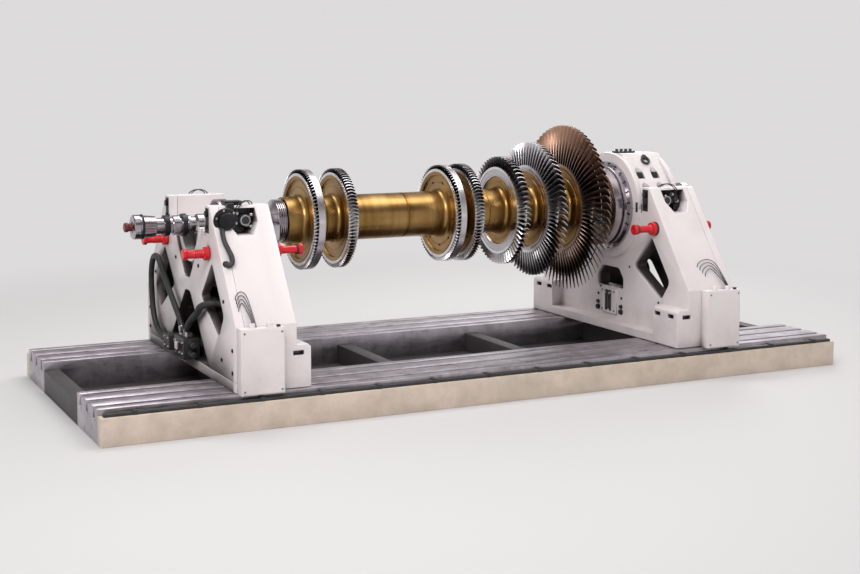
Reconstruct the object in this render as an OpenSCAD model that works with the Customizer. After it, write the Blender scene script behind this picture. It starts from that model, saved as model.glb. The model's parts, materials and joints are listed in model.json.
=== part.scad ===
// Steam or gas turbine rotor on its two bearing pedestals, standing on a slotted machine bed.
// X runs along the rotor axis towards the drive end, Z is up, the floor is Z = 0.

/* [Bed] */
// Length of the bed along the rotor
bed_length = 4700; // [4300:50:6000]
// Height of the bed's top above the floor
bed_height = 180; // [150:5:260]
// Width of one slotted rail
rail_width = 450; // [380:10:500]
// Distance from the rotor's plane to the inner edge of a rail
rail_inner_y = 430; // [380:10:450]
// Slots in the top of each rail
rail_slots = 3; // [2:1:4]
// Width of a rail slot at the top
slot_width = 28; // [20:1:36]
// Width of the beam along each side of the bed
side_beam_width = 70; // [60:2:90]
// Cross beams between the rails
cross_beams = 6; // [4:1:9]

/* [Pedestals] */
// Distance from the middle of the bed to the inner face of a pedestal
pedestal_inner_x = 1195; // [1190:5:1400]
// Length of a pedestal's foot along the rotor
pedestal_depth = 420; // [400:5:480]
// Width of a pedestal across the rotor
pedestal_width = 1710; // [1660:10:1740]
// Height of the rotor's axis above the bed
axis_height = 810; // [790:5:860]
// Height of the vertical part of a pedestal's end
shoulder_height = 350; // [320:5:380]
// Height of the horns beside the bearing cap above the axis
horn_rise = 140; // [120:5:160]
// Width across the outside of the horns
horn_span = 860; // [840:5:900]
// Width across the inside of the horns
horn_gap = 690; // [680:2:700]
// Thickness of the base flange
flange_thickness = 55; // [40:1:70]
// Height of the foot blocks
foot_height = 235; // [210:5:260]
// Width of one foot block
foot_width = 255; // [220:5:280]
// How far the web stands back behind the feet
web_recess = 80; // [60:5:100]
// Thickness of the web on the rotor's side
web_thickness = 100; // [80:5:110]
// Thickness of the plate on the outer side
outer_plate_thickness = 50; // [40:2:60]
// Width of the pedestal's end walls, measured level
end_wall_width = 75; // [60:5:90]

/* [Bearings] */
// Outer radius of the bearing shells
shell_radius = 160; // [150:1:170]
// Radius of the journal at the drive end
journal_radius_drive = 100; // [90:1:110]
// Radius of the journal at the free end
journal_radius_free = 60; // [55:1:75]
// Radial play of a journal in its shell
journal_play = 0.08; // [0.05:0.01:0.1]
// Outer radius of the polished seal ring
seal_radius = 275; // [260:1:285]
// Outer radius of the arch round the seal ring
arch_radius = 345; // [330:1:350]
// Radial gap between a seal and the shaft
seal_play = 6; // [5:0.5:10]
// How far the seal ring stands out towards the rotor
seal_reach = 120; // [96:2:126]

/* [Rotor] */
// Radius of the drum between the second and third disc
drum_radius = 137; // [125:1:150]
// Radius of the through shaft under the discs
core_radius = 100; // [90:1:105]
// Radius of a disc's rim under the short blades
rim_radius = 258; // [250:1:262]
// Tip radius of the last row
tip_radius_last = 530; // [500:5:560]
// Tip radius of the last row but one
tip_radius_sixth = 426; // [400:2:440]
// Tip radius of the fifth row
tip_radius_fifth = 340; // [330:1:360]
// Blades in the last row
blades_last = 72; // [60:2:80]
// Blades in the last row but one
blades_sixth = 70; // [60:2:80]
// Blades in the fifth row
blades_fifth = 64; // [56:2:72]
// Blades in each of the four short rows
blades_short = 84; // [60:2:96]
// Depth of the fifth disc's wide steel rim
rim_height_fifth = 45; // [24:1:50]
// Bare blade edge in front of a shroud band
shroud_set_back = 22; // [5:1:30]

/* [Hidden] */

$fn = 96;
e = 1;
fit_gap = 0.2;

rail_outer_y = rail_inner_y + rail_width;
side_inner_y = rail_outer_y;
side_outer_y = side_inner_y + side_beam_width;
side_beam_top = bed_height - 32;
axis_z = bed_height + axis_height;

ped_half = pedestal_width / 2;
web_back = web_recess + web_thickness;
outer_face = pedestal_depth;
plate_start = outer_face - outer_plate_thickness;
horn_z = axis_height + horn_rise;
horn_out = horn_span / 2;
horn_in = horn_gap / 2;
head_depth = 110;
head_z = axis_height - head_depth;
lean = (ped_half - horn_out) / (horn_z - shoulder_height);
function slope_y(z) = ped_half - (z - shoulder_height) * lean;

shell_start = web_back + 6;
shell_end = plate_start - 24;
carrier_half = 330;
diamond = [[458, 647], [258, 437], [568, 252], [658, 377]];
corner_round = 34;
brace_cross = 465;
port_half = 150;
port_bottom = 268;
port_top = 402;
slot_plate_half = 88;
slot_plate_low = 92;
slot_plate_high = 260;
cap_gap = 3;
cap_half = horn_in - cap_gap;
cap_shoulder = 88;
cap_top_half = 120;
cap_top = arch_radius - 2;
cap_slope = (cap_top - cap_shoulder) / (cap_half - cap_top_half);
function cap_slope_y(z) = cap_half - (z - cap_shoulder) / cap_slope;
pocket_x = [148, 262];
pocket_radius = 27;
pocket_floors = [cap_shoulder + 6, cap_shoulder + 98];
pocket_back = 34;
lift_x = 232;
lift_drop = 48;
arch_front = web_recess - 24;
arch_thickness = 30;
spool_y = 503;
spool_z = axis_height - 110;
window_x = 250;
window_half = 86;
window_top = horn_rise - 16;
window_bottom = -16;

shaft_free_end = -1930;
shaft_drive_end = 1860;
coupling_radius = 128;
coupling_circle = 104;
coupling_bolts = 8;
gland_radius = 118;
gland_free = [-1100, -1040];
gland_drive = [1060, 1118];
fin_height = 7;
fin_pitch = 12;
function finned(from, to, r) =
    let (n = floor((to - from) / fin_pitch), p = (to - from) / n)
    [for (i = [0:n - 1]) each [[r, from + i * p], [r + fin_height, from + (i + 0.35) * p],
        [r + fin_height, from + (i + 0.5) * p], [r, from + (i + 0.65) * p]]];

// Where each row stands along the rotor: inlet edge and width of the rim
row_x = [-940, -723, -17, 112, 405, 620, 868];
row_w = [64, 62, 60, 62, 68, 78, 84];
long_rim = [0, 0, 0, 0, 275, 281, 281];
shroud_radius = rim_radius + 40;
ring_depth = 16;
drum_groove = -270;
drum_span = [row_x[1] + row_w[1] + 45, row_x[2] - 43];
// Where one disc's hub meets the next
function between(n) = (row_x[n] + row_w[n] + row_x[n + 1]) / 2;
joint_x = [gland_free[1], between(0), drum_span[0], drum_span[1], between(2), between(3), between(4),
    between(5), gland_drive[0]];
hub_fillet = 30;
rim_height = 24;
wire_size = 5;

module plate(x, t) {
    translate([x, 0, 0]) rotate([90, 0, 90]) linear_extrude(height = t) children();
}
module bar_x(x, y, z, r, len) {
    translate([x, y, z]) rotate([0, 90, 0]) cylinder(r = r, h = len);
}
module right_place() {
    translate([pedestal_inner_x, 0, bed_height]) children();
}
module left_place() {
    mirror([1, 0, 0]) right_place() children();
}
module both_ends() {
    children();
    mirror([0, 1, 0]) children();
}
module revolve(points) {
    rotate([0, 90, 0]) rotate([0, 0, 90]) rotate_extrude() polygon(points);
}
function arc(c, r, a0, a1, n) = [for (i = [0:n]) let (a = a0 + (a1 - a0) * i / n) c + r * [cos(a), sin(a)]];

// Each corner of a convex outline cut back by d and bridged with a few short facets
function rounded(p, d) = [
    for (i = [0:len(p) - 1])
        let (b = p[i],
             a = b + d * unit(p[(i + len(p) - 1) % len(p)] - b),
             c = b + d * unit(p[(i + 1) % len(p)] - b))
        for (t = [0:0.25:1]) (1 - t) * (1 - t) * a + 2 * t * (1 - t) * b + t * t * c
];
function unit(v) = v / norm(v);

// Bed

module rail_section() {
    head_w = slot_width * 1.8;
    pitch = rail_width / rail_slots;
    difference() {
        square([rail_width, bed_height]);
        for (i = [0:rail_slots - 1]) translate([pitch * (i + 0.5), 0]) {
            translate([-slot_width / 2, bed_height - 46]) square([slot_width, 46 + e]);
            translate([-head_w / 2, bed_height - 66]) square([head_w, 26]);
        }
    }
}
module rail() {
    translate([-bed_length / 2, rail_inner_y, 0]) rotate([90, 0, 90])
        linear_extrude(height = bed_length) rail_section();
}
module bed_rail_back() {
    color("slategray") rail();
}
module bed_rail_front() {
    color("slategray") mirror([0, 1, 0]) rail();
}
module bed_cross_beams() {
    beam_w = 90;
    step = (bed_length - beam_w) / (cross_beams - 1);
    color("dimgray") for (i = [0:cross_beams - 1])
        translate([-bed_length / 2 + i * step, -rail_inner_y, 12])
            cube([beam_w, 2 * rail_inner_y, bed_height - 60]);
}
module bed_pit_tray() {
    color("#2a2a2c") translate([-bed_length / 2, -rail_inner_y, 0])
        cube([bed_length, 2 * rail_inner_y, 12]);
}
module bed_side_beams() {
    color("antiquewhite") both_ends() translate([-bed_length / 2, side_inner_y, 0])
        cube([bed_length, side_beam_width, side_beam_top]);
}
module cable_run() {
    clip_count = 14;
    step = bed_length / clip_count;
    color("#1c1c1e") translate([0, -side_outer_y + 8, side_beam_top]) {
        translate([-bed_length / 2 + 20, 6, 0]) cube([bed_length - 40, 34, 16]);
        for (i = [0:clip_count - 1])
            translate([-bed_length / 2 + (i + 0.5) * step, 0, 0]) cube([24, 46, 24]);
    }
}

// Pedestal

module diamond_2d() {
    both_ends_2d() polygon(rounded(diamond, corner_round));
}
module both_ends_2d() {
    children();
    mirror([1, 0]) children();
}
module web_2d() {
    polygon([[-ped_half, 0], [ped_half, 0], [ped_half, shoulder_height], [horn_out, horn_z],
        [horn_in, horn_z], [horn_in, axis_height], [-horn_in, axis_height], [-horn_in, horn_z],
        [-horn_out, horn_z], [-ped_half, shoulder_height]]);
}
module port_2d() {
    side_top = port_top - (port_top - port_bottom) * 0.46;
    top_half = port_half * 0.64;
    polygon(rounded([[-port_half, port_bottom], [port_half, port_bottom], [port_half, side_top],
        [top_half, port_top], [-top_half, port_top], [-port_half, side_top]], 18));
}
module end_wall_2d() {
    inner = slope_y(head_z) - end_wall_width;
    polygon([[ped_half, 0], [ped_half, shoulder_height], [slope_y(head_z), head_z], [inner, head_z],
        [ped_half - end_wall_width, shoulder_height], [ped_half - end_wall_width, 0]]);
}
module head_2d() {
    polygon([[carrier_half, head_z], [slope_y(head_z), head_z], [horn_out, horn_z],
        [horn_in, horn_z], [horn_in, axis_height], [carrier_half, axis_height]]);
}
module clamp_window() {
    half = window_half;
    both_ends() translate([window_x, ped_half, axis_height]) rotate([90, 0, 0])
        linear_extrude(height = ped_half - horn_in - 20) polygon([[-half, window_top], [-half, 52],
            [-half * 0.5, window_bottom], [half * 0.5, window_bottom], [half, 52], [half, window_top]]);
}
module foot_block() {
    bevel = 16;
    translate([0, ped_half, 0]) rotate([90, 0, 0]) linear_extrude(height = foot_width)
        polygon([[0, 0], [plate_start, 0], [plate_start, foot_height], [bevel, foot_height],
            [0, foot_height - bevel]]);
}
module frame() {
    color("seashell") difference() {
        union() {
            translate([0, -ped_half, 0]) cube([outer_face, pedestal_width, flange_thickness]);
            both_ends() foot_block();
            difference() {
                plate(web_recess, web_thickness) web_2d();
                plate(web_recess - e, web_thickness + 2 * e) {
                    diamond_2d();
                    port_2d();
                }
            }
            both_ends() {
                plate(web_recess, plate_start - web_recess) end_wall_2d();
                plate(web_recess, plate_start - web_recess) head_2d();
            }
            arch_half(false);
            plate(web_recess - 14, 20) translate([-slot_plate_half, slot_plate_low])
                square([2 * slot_plate_half, slot_plate_high - slot_plate_low]);
        }
        bar_x(-e, 0, axis_height, shell_radius + fit_gap, outer_face + 2 * e);
        clamp_window();
        foot_pockets();
        plate(web_recess - 20, 60) translate([-17, slot_plate_low + 24])
            square([34, slot_plate_high - slot_plate_low - 42]);
    }
}
module foot_pockets() {
    both_ends() for (y = [spool_y + 140, ped_half - 75])
        translate([-e, y - 30, foot_height - 58]) cube([50, 60, 24]);
    both_ends() translate([40, ped_half - 40, foot_height - 58]) cube([60, 40 + e, 24]);
}
module arch_half(upper) {
    intersection() {
        bar_x(arch_front, 0, axis_height, arch_radius, arch_thickness);
        plate(0, web_back) translate([-arch_radius, upper ? axis_height : axis_height - arch_radius])
            square([2 * arch_radius, arch_radius]);
    }
}
module outer_plate_2d() {
    waist = 46;
    notch = rounded([[-horn_in + 30, axis_height + 40], [-waist, brace_cross + 46],
        [waist, brace_cross + 46], [horn_in - 30, axis_height + 40]], 24);
    arch = rounded([[-waist, brace_cross - 30], [waist, brace_cross - 30], [horn_out, flange_thickness - 40],
        [-horn_out, flange_thickness - 40]], 24);
    difference() {
        web_2d();
        diamond_2d();
        polygon(notch);
        polygon(arch);
        translate([-ped_half - e, -e]) square([pedestal_width + 2 * e, flange_thickness + e]);
    }
}
module outer_plate() {
    color("linen") plate(plate_start, outer_plate_thickness) outer_plate_2d();
}
module bearing_carrier() {
    half = carrier_half;
    arm = 70;
    color("oldlace") difference() {
        union() {
            plate(web_back, plate_start - web_back) polygon([[-half, axis_height], [half, axis_height],
                [half, axis_height - arm], [shell_radius + 45, axis_height - arm - 40],
                [92, axis_height - shell_radius - 90], [-92, axis_height - shell_radius - 90],
                [-shell_radius - 45, axis_height - arm - 40], [-half, axis_height - arm]]);
            intersection() {
                bar_x(plate_start - e, 0, axis_height, shell_radius + 52, 36);
                plate(plate_start - e, 60) translate([-half, axis_height - half]) square([2 * half, half]);
            }
        }
        bar_x(0, 0, axis_height, shell_radius + fit_gap, outer_face);
    }
}
module shell_half(bore) {
    difference() {
        bar_x(shell_start, 0, axis_height, shell_radius, shell_end - shell_start);
        bar_x(0, 0, axis_height, bore, outer_face);
        translate([-e, -shell_radius - e, axis_height])
            cube([outer_face, 2 * shell_radius + 2 * e, shell_radius + e]);
    }
}
module bearing_lower(journal) {
    color("silver") shell_half(journal + journal_play);
}
module seal_ring(bore, half) {
    r = seal_radius;
    front = arch_front - seal_reach;
    color("gainsboro") difference() {
        translate([0, 0, axis_height]) revolve([
            [bore, front + 10], [bore + 14, front], [r - 66, front], [r - 58, front + 8],
            [r - 22, front + 8], [r - 18, front + 12], [r - 18, front + 58], [r - 26, front + 61],
            [r - 26, front + 67], [r - 8, front + 70], [r - 6, front + 72], [r - 6, arch_front - 18],
            [r + 12, arch_front - 18], [r + 12, arch_front], [bore, arch_front]]);
        if (half) translate([-outer_face, -arch_radius, axis_height])
            cube([2 * outer_face, 2 * arch_radius, arch_radius]);
    }
}
module spools() {
    reach = 168;
    head = web_recess - reach;
    color("firebrick") both_ends() translate([0, spool_y, spool_z]) revolve([
        [0, head + 6], [13, head + 6], [15, head], [29, head], [33, head + 4], [33, head + 20],
        [29, head + 24], [22, head + 34], [22, web_recess - 52], [28, web_recess - 40],
        [40, web_recess - 36], [40, web_recess - 4], [36, web_recess], [0, web_recess]]);
}
module stiffness_unit() {
    base = 60;
    drum_z = port_top - 37;
    color("dimgray") {
        translate([web_back + 30, -110, flange_thickness]) cube([150, 220, base]);
        translate([0, 0, drum_z]) revolve([
            [0, web_back + 12], [52, web_back + 12], [56, web_back + 16], [56, web_back + 30],
            [78, web_back + 34], [78, plate_start - 28], [70, plate_start - 20], [44, plate_start - 20],
            [40, plate_start - 4], [0, plate_start - 4]]);
        translate([web_back + 60, -50, flange_thickness]) cube([90, 100, drum_z - flange_thickness]);
    }
}
module end_clamps() {
    y0 = horn_in + 20;
    color("#26262a") both_ends() translate([window_x, y0, axis_height + 56]) rotate([-90, 0, 0]) {
        translate([-34, 0, 0]) cylinder(r = 34, h = 50);
        translate([-34, 0, 0]) cylinder(r = 22, h = 74);
        translate([-2, -38, 0]) cube([70, 62, 44]);
        translate([38, -8, 0]) cylinder(r = 16, h = 66);
    }
}
module junction_box() {
    depth = 75;
    wide = 240;
    high = 350;
    lid = 4;
    color("seashell") translate([pedestal_depth - 245, -ped_half - depth, 0]) {
        translate([0, lid, 0]) cube([wide, depth - lid, high]);
        translate([6, 0, 6]) cube([wide - 12, lid, high - 12]);
        translate([wide * 0.3, depth * 0.5, high]) cylinder(r = 16, h = 22);
        translate([wide * 0.7, depth * 0.5, high]) cylinder(r = 16, h = 22);
    }
}
module hydraulic_block() {
    color("#202024") {
        translate([plate_start + 20, -130, flange_thickness]) cube([95, 190, 120]);
        translate([plate_start + 20, 180, flange_thickness]) cube([90, 120, 90]);
    }
}
module oil_guard() {
    color("thistle") difference() {
        bar_x(web_back + 10, 0, axis_height, shell_radius - 20, 60);
        bar_x(0, 0, axis_height, shell_radius - 32, outer_face);
        translate([-e, -shell_radius, axis_height - shell_radius])
            cube([outer_face, 2 * shell_radius, shell_radius + fit_gap]);
    }
}

module cap_2d(half) {
    polygon([[-half, 0], [half, 0], [half, cap_shoulder], [cap_top_half, cap_top],
        [-cap_top_half, cap_top], [-half, cap_shoulder]]);
}
module cap_arch(x) {
    plate(x, arch_thickness) intersection() {
        translate([0, axis_height]) circle(r = arch_radius);
        translate([-cap_half, axis_height]) square([2 * cap_half, arch_radius]);
    }
}
module pocket_places() {
    both_ends() for (x = pocket_x) for (floor = pocket_floors)
        translate([x, cap_slope_y(floor) - pocket_back, axis_height + floor]) children();
}
module bearing_cap() {
    color("seashell") difference() {
        union() {
            cap_arch(arch_front);
            cap_arch(plate_start - arch_thickness);
            plate(web_recess, plate_start - web_recess) translate([0, axis_height]) cap_2d(cap_half);
        }
        bar_x(-e, 0, axis_height, shell_radius + fit_gap, outer_face + 2 * e);
        pocket_places() {
            cylinder(r = pocket_radius, h = arch_radius);
            translate([-pocket_radius, 0, 0])
                cube([2 * pocket_radius, 2 * pocket_back, arch_radius]);
        }
    }
}
module cap_fittings() {
    top = axis_height + cap_top;
    ring_r = 26;
    color("#1e1e20") {
        pocket_places() {
            cylinder(r = 19, h = 5);
            cylinder(r = 12, h = 16);
            translate([0, 0, 15]) cylinder(r = 16, h = 26);
        }
        translate([web_recess + 10, -54, top]) {
            cube([140, 64, 12]);
            for (i = [0:3]) translate([17 + i * 35, 32, 11]) cylinder(r = 10, h = 16);
        }
        both_ends() translate([lift_x, cap_slope_y(cap_top - lift_drop), top - lift_drop])
            rotate([-atan(cap_slope), 0, 0]) {
                translate([0, -ring_r, 0]) cylinder(r = 18, h = 14);
                translate([0, 0, 9]) rotate_extrude() translate([ring_r, 0]) circle(r = 7);
            }
    }
}

// Hoses: round tubes swept along a smooth line through a few hand-set points

hose_radius = 20;
hose_low = [[445, -60, 175.5], [445, -60, 200], [452, -110, 245], [456, -200, 300], [452, -290, 348],
    [450, -345, 388], [418, -405, 412], [365, -460, 414], [315, -540, 396], [280, -640, 362],
    [265, -720, 338], [260, -760, 330], [260, -779.5, 330]];
hose_far = [[445, 20, 175.5], [445, 20, 205], [450, 60, 262], [456, 150, 340], [460, 270, 430],
    [462, 380, 520], [462, 470, 575], [462, 560, 560], [460, 615, 470], [458, 622, 350],
    [456, 600, 230], [452, 540, 140], [448, 440, 105], [446, 340, 100], [446, 300.5, 100]];
function curve(p, i, t) =
    let (a = p[max(i - 1, 0)], b = p[i], c = p[i + 1], d = p[min(i + 2, len(p) - 1)])
    0.5 * (2 * b + (c - a) * t + (2 * a - 5 * b + 4 * c - d) * t * t
        + (3 * b - a - 3 * c + d) * t * t * t);
function smooth(p) = concat([p[0], p[1]],
    [for (i = [1:len(p) - 3]) each [curve(p, i, 0.5), p[i + 1]]], [p[len(p) - 1]]);
function along(p, i) = unit(p[min(i + 1, len(p) - 1)] - p[max(i - 1, 0)]);
function ring_at(c, t, r, up) =
    let (s = unit(cross(t, up)), v = cross(s, t))
    [for (k = [0:7]) c + r * (cos(k * 45) * s + sin(k * 45) * v)];
module hose(route, r) {
    p = smooth(route);
    m = len(p);
    up = [0.94, 0.05, 0.34];
    ends_t = [unit(p[1] - p[0]), unit(p[m - 1] - p[m - 2])];
    rings = [for (i = [0:m - 1])
        each ring_at(p[i], i == 0 ? ends_t[0] : i == m - 1 ? ends_t[1] : along(p, i), r, up)];
    polyhedron(points = rings, faces = loft_faces(8, m));
}
module hoses() {
    color("#18181a") {
        hose(hose_low, hose_radius);
        hose(hose_far, hose_radius);
    }
}

// Rotor

module rotor_place() {
    translate([0, 0, axis_z]) children();
}
module rotor_shaft() {
    bearing_mid = pedestal_inner_x + (shell_start + shell_end) / 2;
    land = (shell_end - shell_start) / 2 + 16;
    jf = journal_radius_free;
    jd = journal_radius_drive;
    color("lightsteelblue") rotor_place() difference() {
        revolve(concat([
        [0, shaft_free_end + 6], [30, shaft_free_end + 6], [34, shaft_free_end], [66, shaft_free_end],
        [70, shaft_free_end + 4], [70, shaft_free_end + 36], [58, shaft_free_end + 130],
        [46, shaft_free_end + 130], [46, -1700], [57, -1700], [57, -1662], [46, -1662],
        [46, -bearing_mid - land], [jf, -bearing_mid - land], [jf, -bearing_mid + land],
        [jf + 14, -bearing_mid + land], [jf + 14, gland_free[0] - 24], [core_radius, gland_free[0] - 12]],
        finned(gland_free[0], gland_free[1], gland_radius), [
        [core_radius, gland_free[1]],
        [core_radius, bearing_mid - land - 60], [jd, bearing_mid - land - 60], [jd, bearing_mid + land],
        [jd - 14, bearing_mid + land + 14], [jd - 14, shaft_drive_end - 56],
        [jd, shaft_drive_end - 40], [coupling_radius, shaft_drive_end - 40],
        [coupling_radius, shaft_drive_end - 3], [coupling_radius - 3, shaft_drive_end],
        [46, shaft_drive_end], [46, shaft_drive_end - 8], [0, shaft_drive_end - 8]]));
        around(coupling_bolts) translate([shaft_drive_end - 60, 0, coupling_circle])
            rotate([0, 90, 0]) cylinder(r = 9, h = 80);
    }
}
module gland_sleeve() {
    color("lightsteelblue") rotor_place() revolve(concat(
        [[core_radius + fit_gap, gland_drive[0]], [gland_radius, gland_drive[0]]],
        finned(gland_drive[0] + 12, gland_drive[1] - 10, gland_radius),
        [[gland_radius, gland_drive[1]], [core_radius + fit_gap, gland_drive[1]]]));
}
module rotor_drum() {
    color("darkgoldenrod") rotor_place() revolve([
        [core_radius + fit_gap, drum_span[0]], [drum_radius, drum_span[0]],
        [drum_radius, drum_groove - 3], [drum_radius - 4, drum_groove - 3],
        [drum_radius - 4, drum_groove + 3], [drum_radius, drum_groove + 3],
        [drum_radius, drum_span[1]], [core_radius + fit_gap, drum_span[1]]]);
}
module disc(n, from, to, rim, depth = rim_height) {
    middle = row_x[n] + row_w[n] / 2;
    half = row_w[n] / 2 - 2;
    hub = drum_radius;
    web_low = half * 0.62;
    web_high = half * 0.52;
    rim_fillet = half * 0.25;
    low = middle - web_low - hub_fillet > from + 2
        ? concat([[hub - 3, from], [hub, from + 3]],
            arc([hub + hub_fillet, middle - web_low - hub_fillet], hub_fillet, 180, 90, 6))
        : [[hub, from], [hub, middle - web_low]];
    high = middle + web_low + hub_fillet < to - 2
        ? concat(arc([hub + hub_fillet, middle + web_low + hub_fillet], hub_fillet, 270, 180, 6),
            [[hub, to - 3], [hub - 3, to]])
        : [[hub, middle + web_low], [hub, to]];
    rim_low = concat(
        arc([rim - depth - rim_fillet, middle - web_high - rim_fillet], rim_fillet, 90, 0, 4),
        [[rim - depth, middle - half + 4], [rim - depth + 4, middle - half], [rim, middle - half]]);
    color("goldenrod") rotor_place() revolve(concat(
        [[core_radius + fit_gap, from]], low, rim_low,
        [[rim, middle + half], [rim - depth + 4, middle + half], [rim - depth, middle + half - 4]],
        arc([rim - depth - rim_fillet, middle + web_high + rim_fillet], rim_fillet, 0, -90, 4),
        high, [[core_radius + fit_gap, to]]));
}
module blade_ring(n, r0, r1, inset) {
    translate([row_x[n] + inset, 0, 0]) rotate([0, 90, 0]) difference() {
        cylinder(r = r1, h = row_w[n] - 2 * inset);
        translate([0, 0, -e]) cylinder(r = r0, h = row_w[n] + 2 * e);
    }
}

// A blade section: a cambered leaf of eight points, its tail turned back by the stagger angle
function leaf(chord, camber, thick, angle) = [
    for (p = concat([for (i = [0:4]) [i / 4, 1]], [for (i = [3:-1:1]) [i / 4, -1]]))
        let (t = p[0],
             h = p[1] * thick / 2 * sqrt(4 * t * (1 - t)),
             u = (t - 0.5) * chord,
             v = camber * 4 * t * (1 - t) + h)
        [u * cos(angle) + v * sin(angle), v * cos(angle) - u * sin(angle)]
];
function lofted(sections, radii) = [
    for (k = [0:len(radii) - 1]) for (q = sections[k]) [q[0], q[1], radii[k]]
];
// Faces of a loft; turn picks the diagonal of its four-sided faces, 1 or 0, so that a twisted blade bulges
function loft_faces(n, m, turn = 1) = concat(
    [[for (j = [n - 1:-1:0]) j]],
    [for (i = [0:m - 2]) for (j = [0:n - 1])
        [i * n + j, i * n + (j + 1) % n, (i + 1) * n + (j + turn) % n]],
    [for (i = [0:m - 2]) for (j = [0:n - 1])
        [i * n + (j + 1 - turn) % n, (i + 1) * n + (j + 1) % n, (i + 1) * n + j]],
    [[for (j = [0:n - 1]) (m - 1) * n + j]]);
module twisted_blade(sections, radii) {
    polyhedron(points = lofted(sections, radii), faces = loft_faces(8, len(radii), 0));
}
module lacing_ring(x, r) {
    translate([x - wire_size / 2, 0, 0]) rotate([0, 90, 0]) difference() {
        cylinder(r = r + wire_size / 2, h = wire_size);
        translate([0, 0, -e]) cylinder(r = r - wire_size / 2, h = wire_size + 2 * e);
    }
}
module around(n) {
    for (i = [0:n - 1]) rotate([i * 360 / n, 0, 0]) children();
}

module shroud_band(n, tip) {
    translate([row_x[n] + shroud_set_back, 0, 0]) rotate([0, 90, 0]) difference() {
        cylinder(r = tip, h = row_w[n] - shroud_set_back);
        translate([0, 0, -e]) cylinder(r = tip - 8, h = row_w[n] + 2 * e);
    }
}
module short_row(n, tip, shrouded) {
    root = rim_radius + ring_depth;
    mid = row_x[n] + row_w[n] / 2;
    color("silver") rotor_place() {
        blade_ring(n, rim_radius + fit_gap, root, 0);
        if (shrouded) shroud_band(n, tip);
        around(blades_short) translate([mid, 0, root - 3])
            linear_extrude(height = tip - root + 2) polygon(leaf(row_w[n] * 0.9, 12, 6, 8));
    }
}
module blades_1() {
    short_row(0, shroud_radius, true);
}
module blades_2() {
    short_row(1, shroud_radius, false);
}
module blades_3() {
    short_row(2, shroud_radius + 1, true);
}
module blades_4() {
    short_row(3, shroud_radius + 5, false);
}
module blades_5() {
    root = long_rim[4];
    color("gainsboro") rotor_place() {
        blade_ring(4, root - ring_depth + fit_gap, root, 0);
        around(blades_fifth) translate([row_x[4] + row_w[4] / 2, 0, root - 3])
            linear_extrude(height = tip_radius_fifth - root + 3) polygon(leaf(row_w[4] * 0.9, 14, 7, 8));
    }
}
module blades_6() {
    root = long_rim[5];
    tip = tip_radius_sixth;
    span = tip - root;
    color("lightgray") rotor_place() {
        blade_ring(5, root - ring_depth + fit_gap, root, 0);
        around(blades_sixth) translate([row_x[5] + row_w[5] / 2, 0, 0]) twisted_blade(
            [leaf(72, 11, 10, 12), leaf(66, 8, 7, 26), leaf(60, 4, 5, 40)],
            [root - 4, root + span / 2, tip]);
    }
}
module blades_7() {
    root = long_rim[6];
    tip = tip_radius_last;
    span = tip - root;
    color("peru") rotor_place() {
        blade_ring(6, root - ring_depth + fit_gap, root, 0);
        lacing_ring(row_x[6] + row_w[6] / 2, root + span * 0.66);
        around(blades_last) translate([row_x[6] + row_w[6] / 2, 0, 0]) twisted_blade(
            [leaf(80, 14, 12, 8), leaf(76, 9, 9, 28), leaf(70, 6, 6, 46), leaf(62, 4, 4, 58)],
            [root - 11, root + span / 3, root + span * 2 / 3, tip]);
    }
}

bed_rail_front();
bed_rail_back();
bed_cross_beams();
bed_pit_tray();
bed_side_beams();
cable_run();
left_place() frame();  // left_frame
left_place() outer_plate();  // left_outer_plate
left_place() bearing_carrier();  // left_bearing_carrier
left_place() bearing_lower(journal_radius_free);  // left_bearing_lower
left_place() seal_ring(journal_radius_free + 14 + seal_play, true);  // left_seal_ring
left_place() spools();  // left_spools
left_place() stiffness_unit();  // left_stiffness_unit
left_place() end_clamps();  // left_end_clamps
left_place() junction_box();  // left_junction_box
left_place() hydraulic_block();  // left_hydraulic_block
left_place() hoses();  // left_hoses
left_place() oil_guard();  // left_oil_guard
right_place() frame();  // right_frame
right_place() outer_plate();  // right_outer_plate
right_place() bearing_carrier();  // right_bearing_carrier
right_place() bearing_lower(journal_radius_drive);  // right_bearing_lower
right_place()  // right_bearing_upper
    translate([0, 0, 2 * axis_height]) mirror([0, 0, 1]) bearing_lower(journal_radius_drive);
right_place() bearing_cap();  // right_bearing_cap
right_place() cap_fittings();  // right_cap_fittings
right_place() seal_ring(core_radius + seal_play, false);  // right_seal_ring
right_place() spools();  // right_spools
right_place() stiffness_unit();  // right_stiffness_unit
right_place() end_clamps();  // right_end_clamps
right_place() junction_box();  // right_junction_box
right_place() hydraulic_block();  // right_hydraulic_block
right_place() hoses();  // right_hoses
rotor_shaft();
rotor_drum();
gland_sleeve();
disc(0, joint_x[0], joint_x[1], rim_radius);  // disc_1
disc(1, joint_x[1], joint_x[2], rim_radius);  // disc_2
disc(2, joint_x[3], joint_x[4], rim_radius);  // disc_3
disc(3, joint_x[4], joint_x[5], rim_radius);  // disc_4
disc(4, joint_x[5], joint_x[6], long_rim[4] - ring_depth,  // disc_5
    rim_height_fifth);
disc(5, joint_x[6], joint_x[7], long_rim[5] - ring_depth);  // disc_6
disc(6, joint_x[7], joint_x[8], long_rim[6] - ring_depth);  // disc_7
blades_1();
blades_2();
blades_3();
blades_4();
blades_5();
blades_6();
blades_7();
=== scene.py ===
import json
import math
from itertools import product

import bmesh
import bpy
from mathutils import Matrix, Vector
from mathutils.geometry import tessellate_polygon


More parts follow.
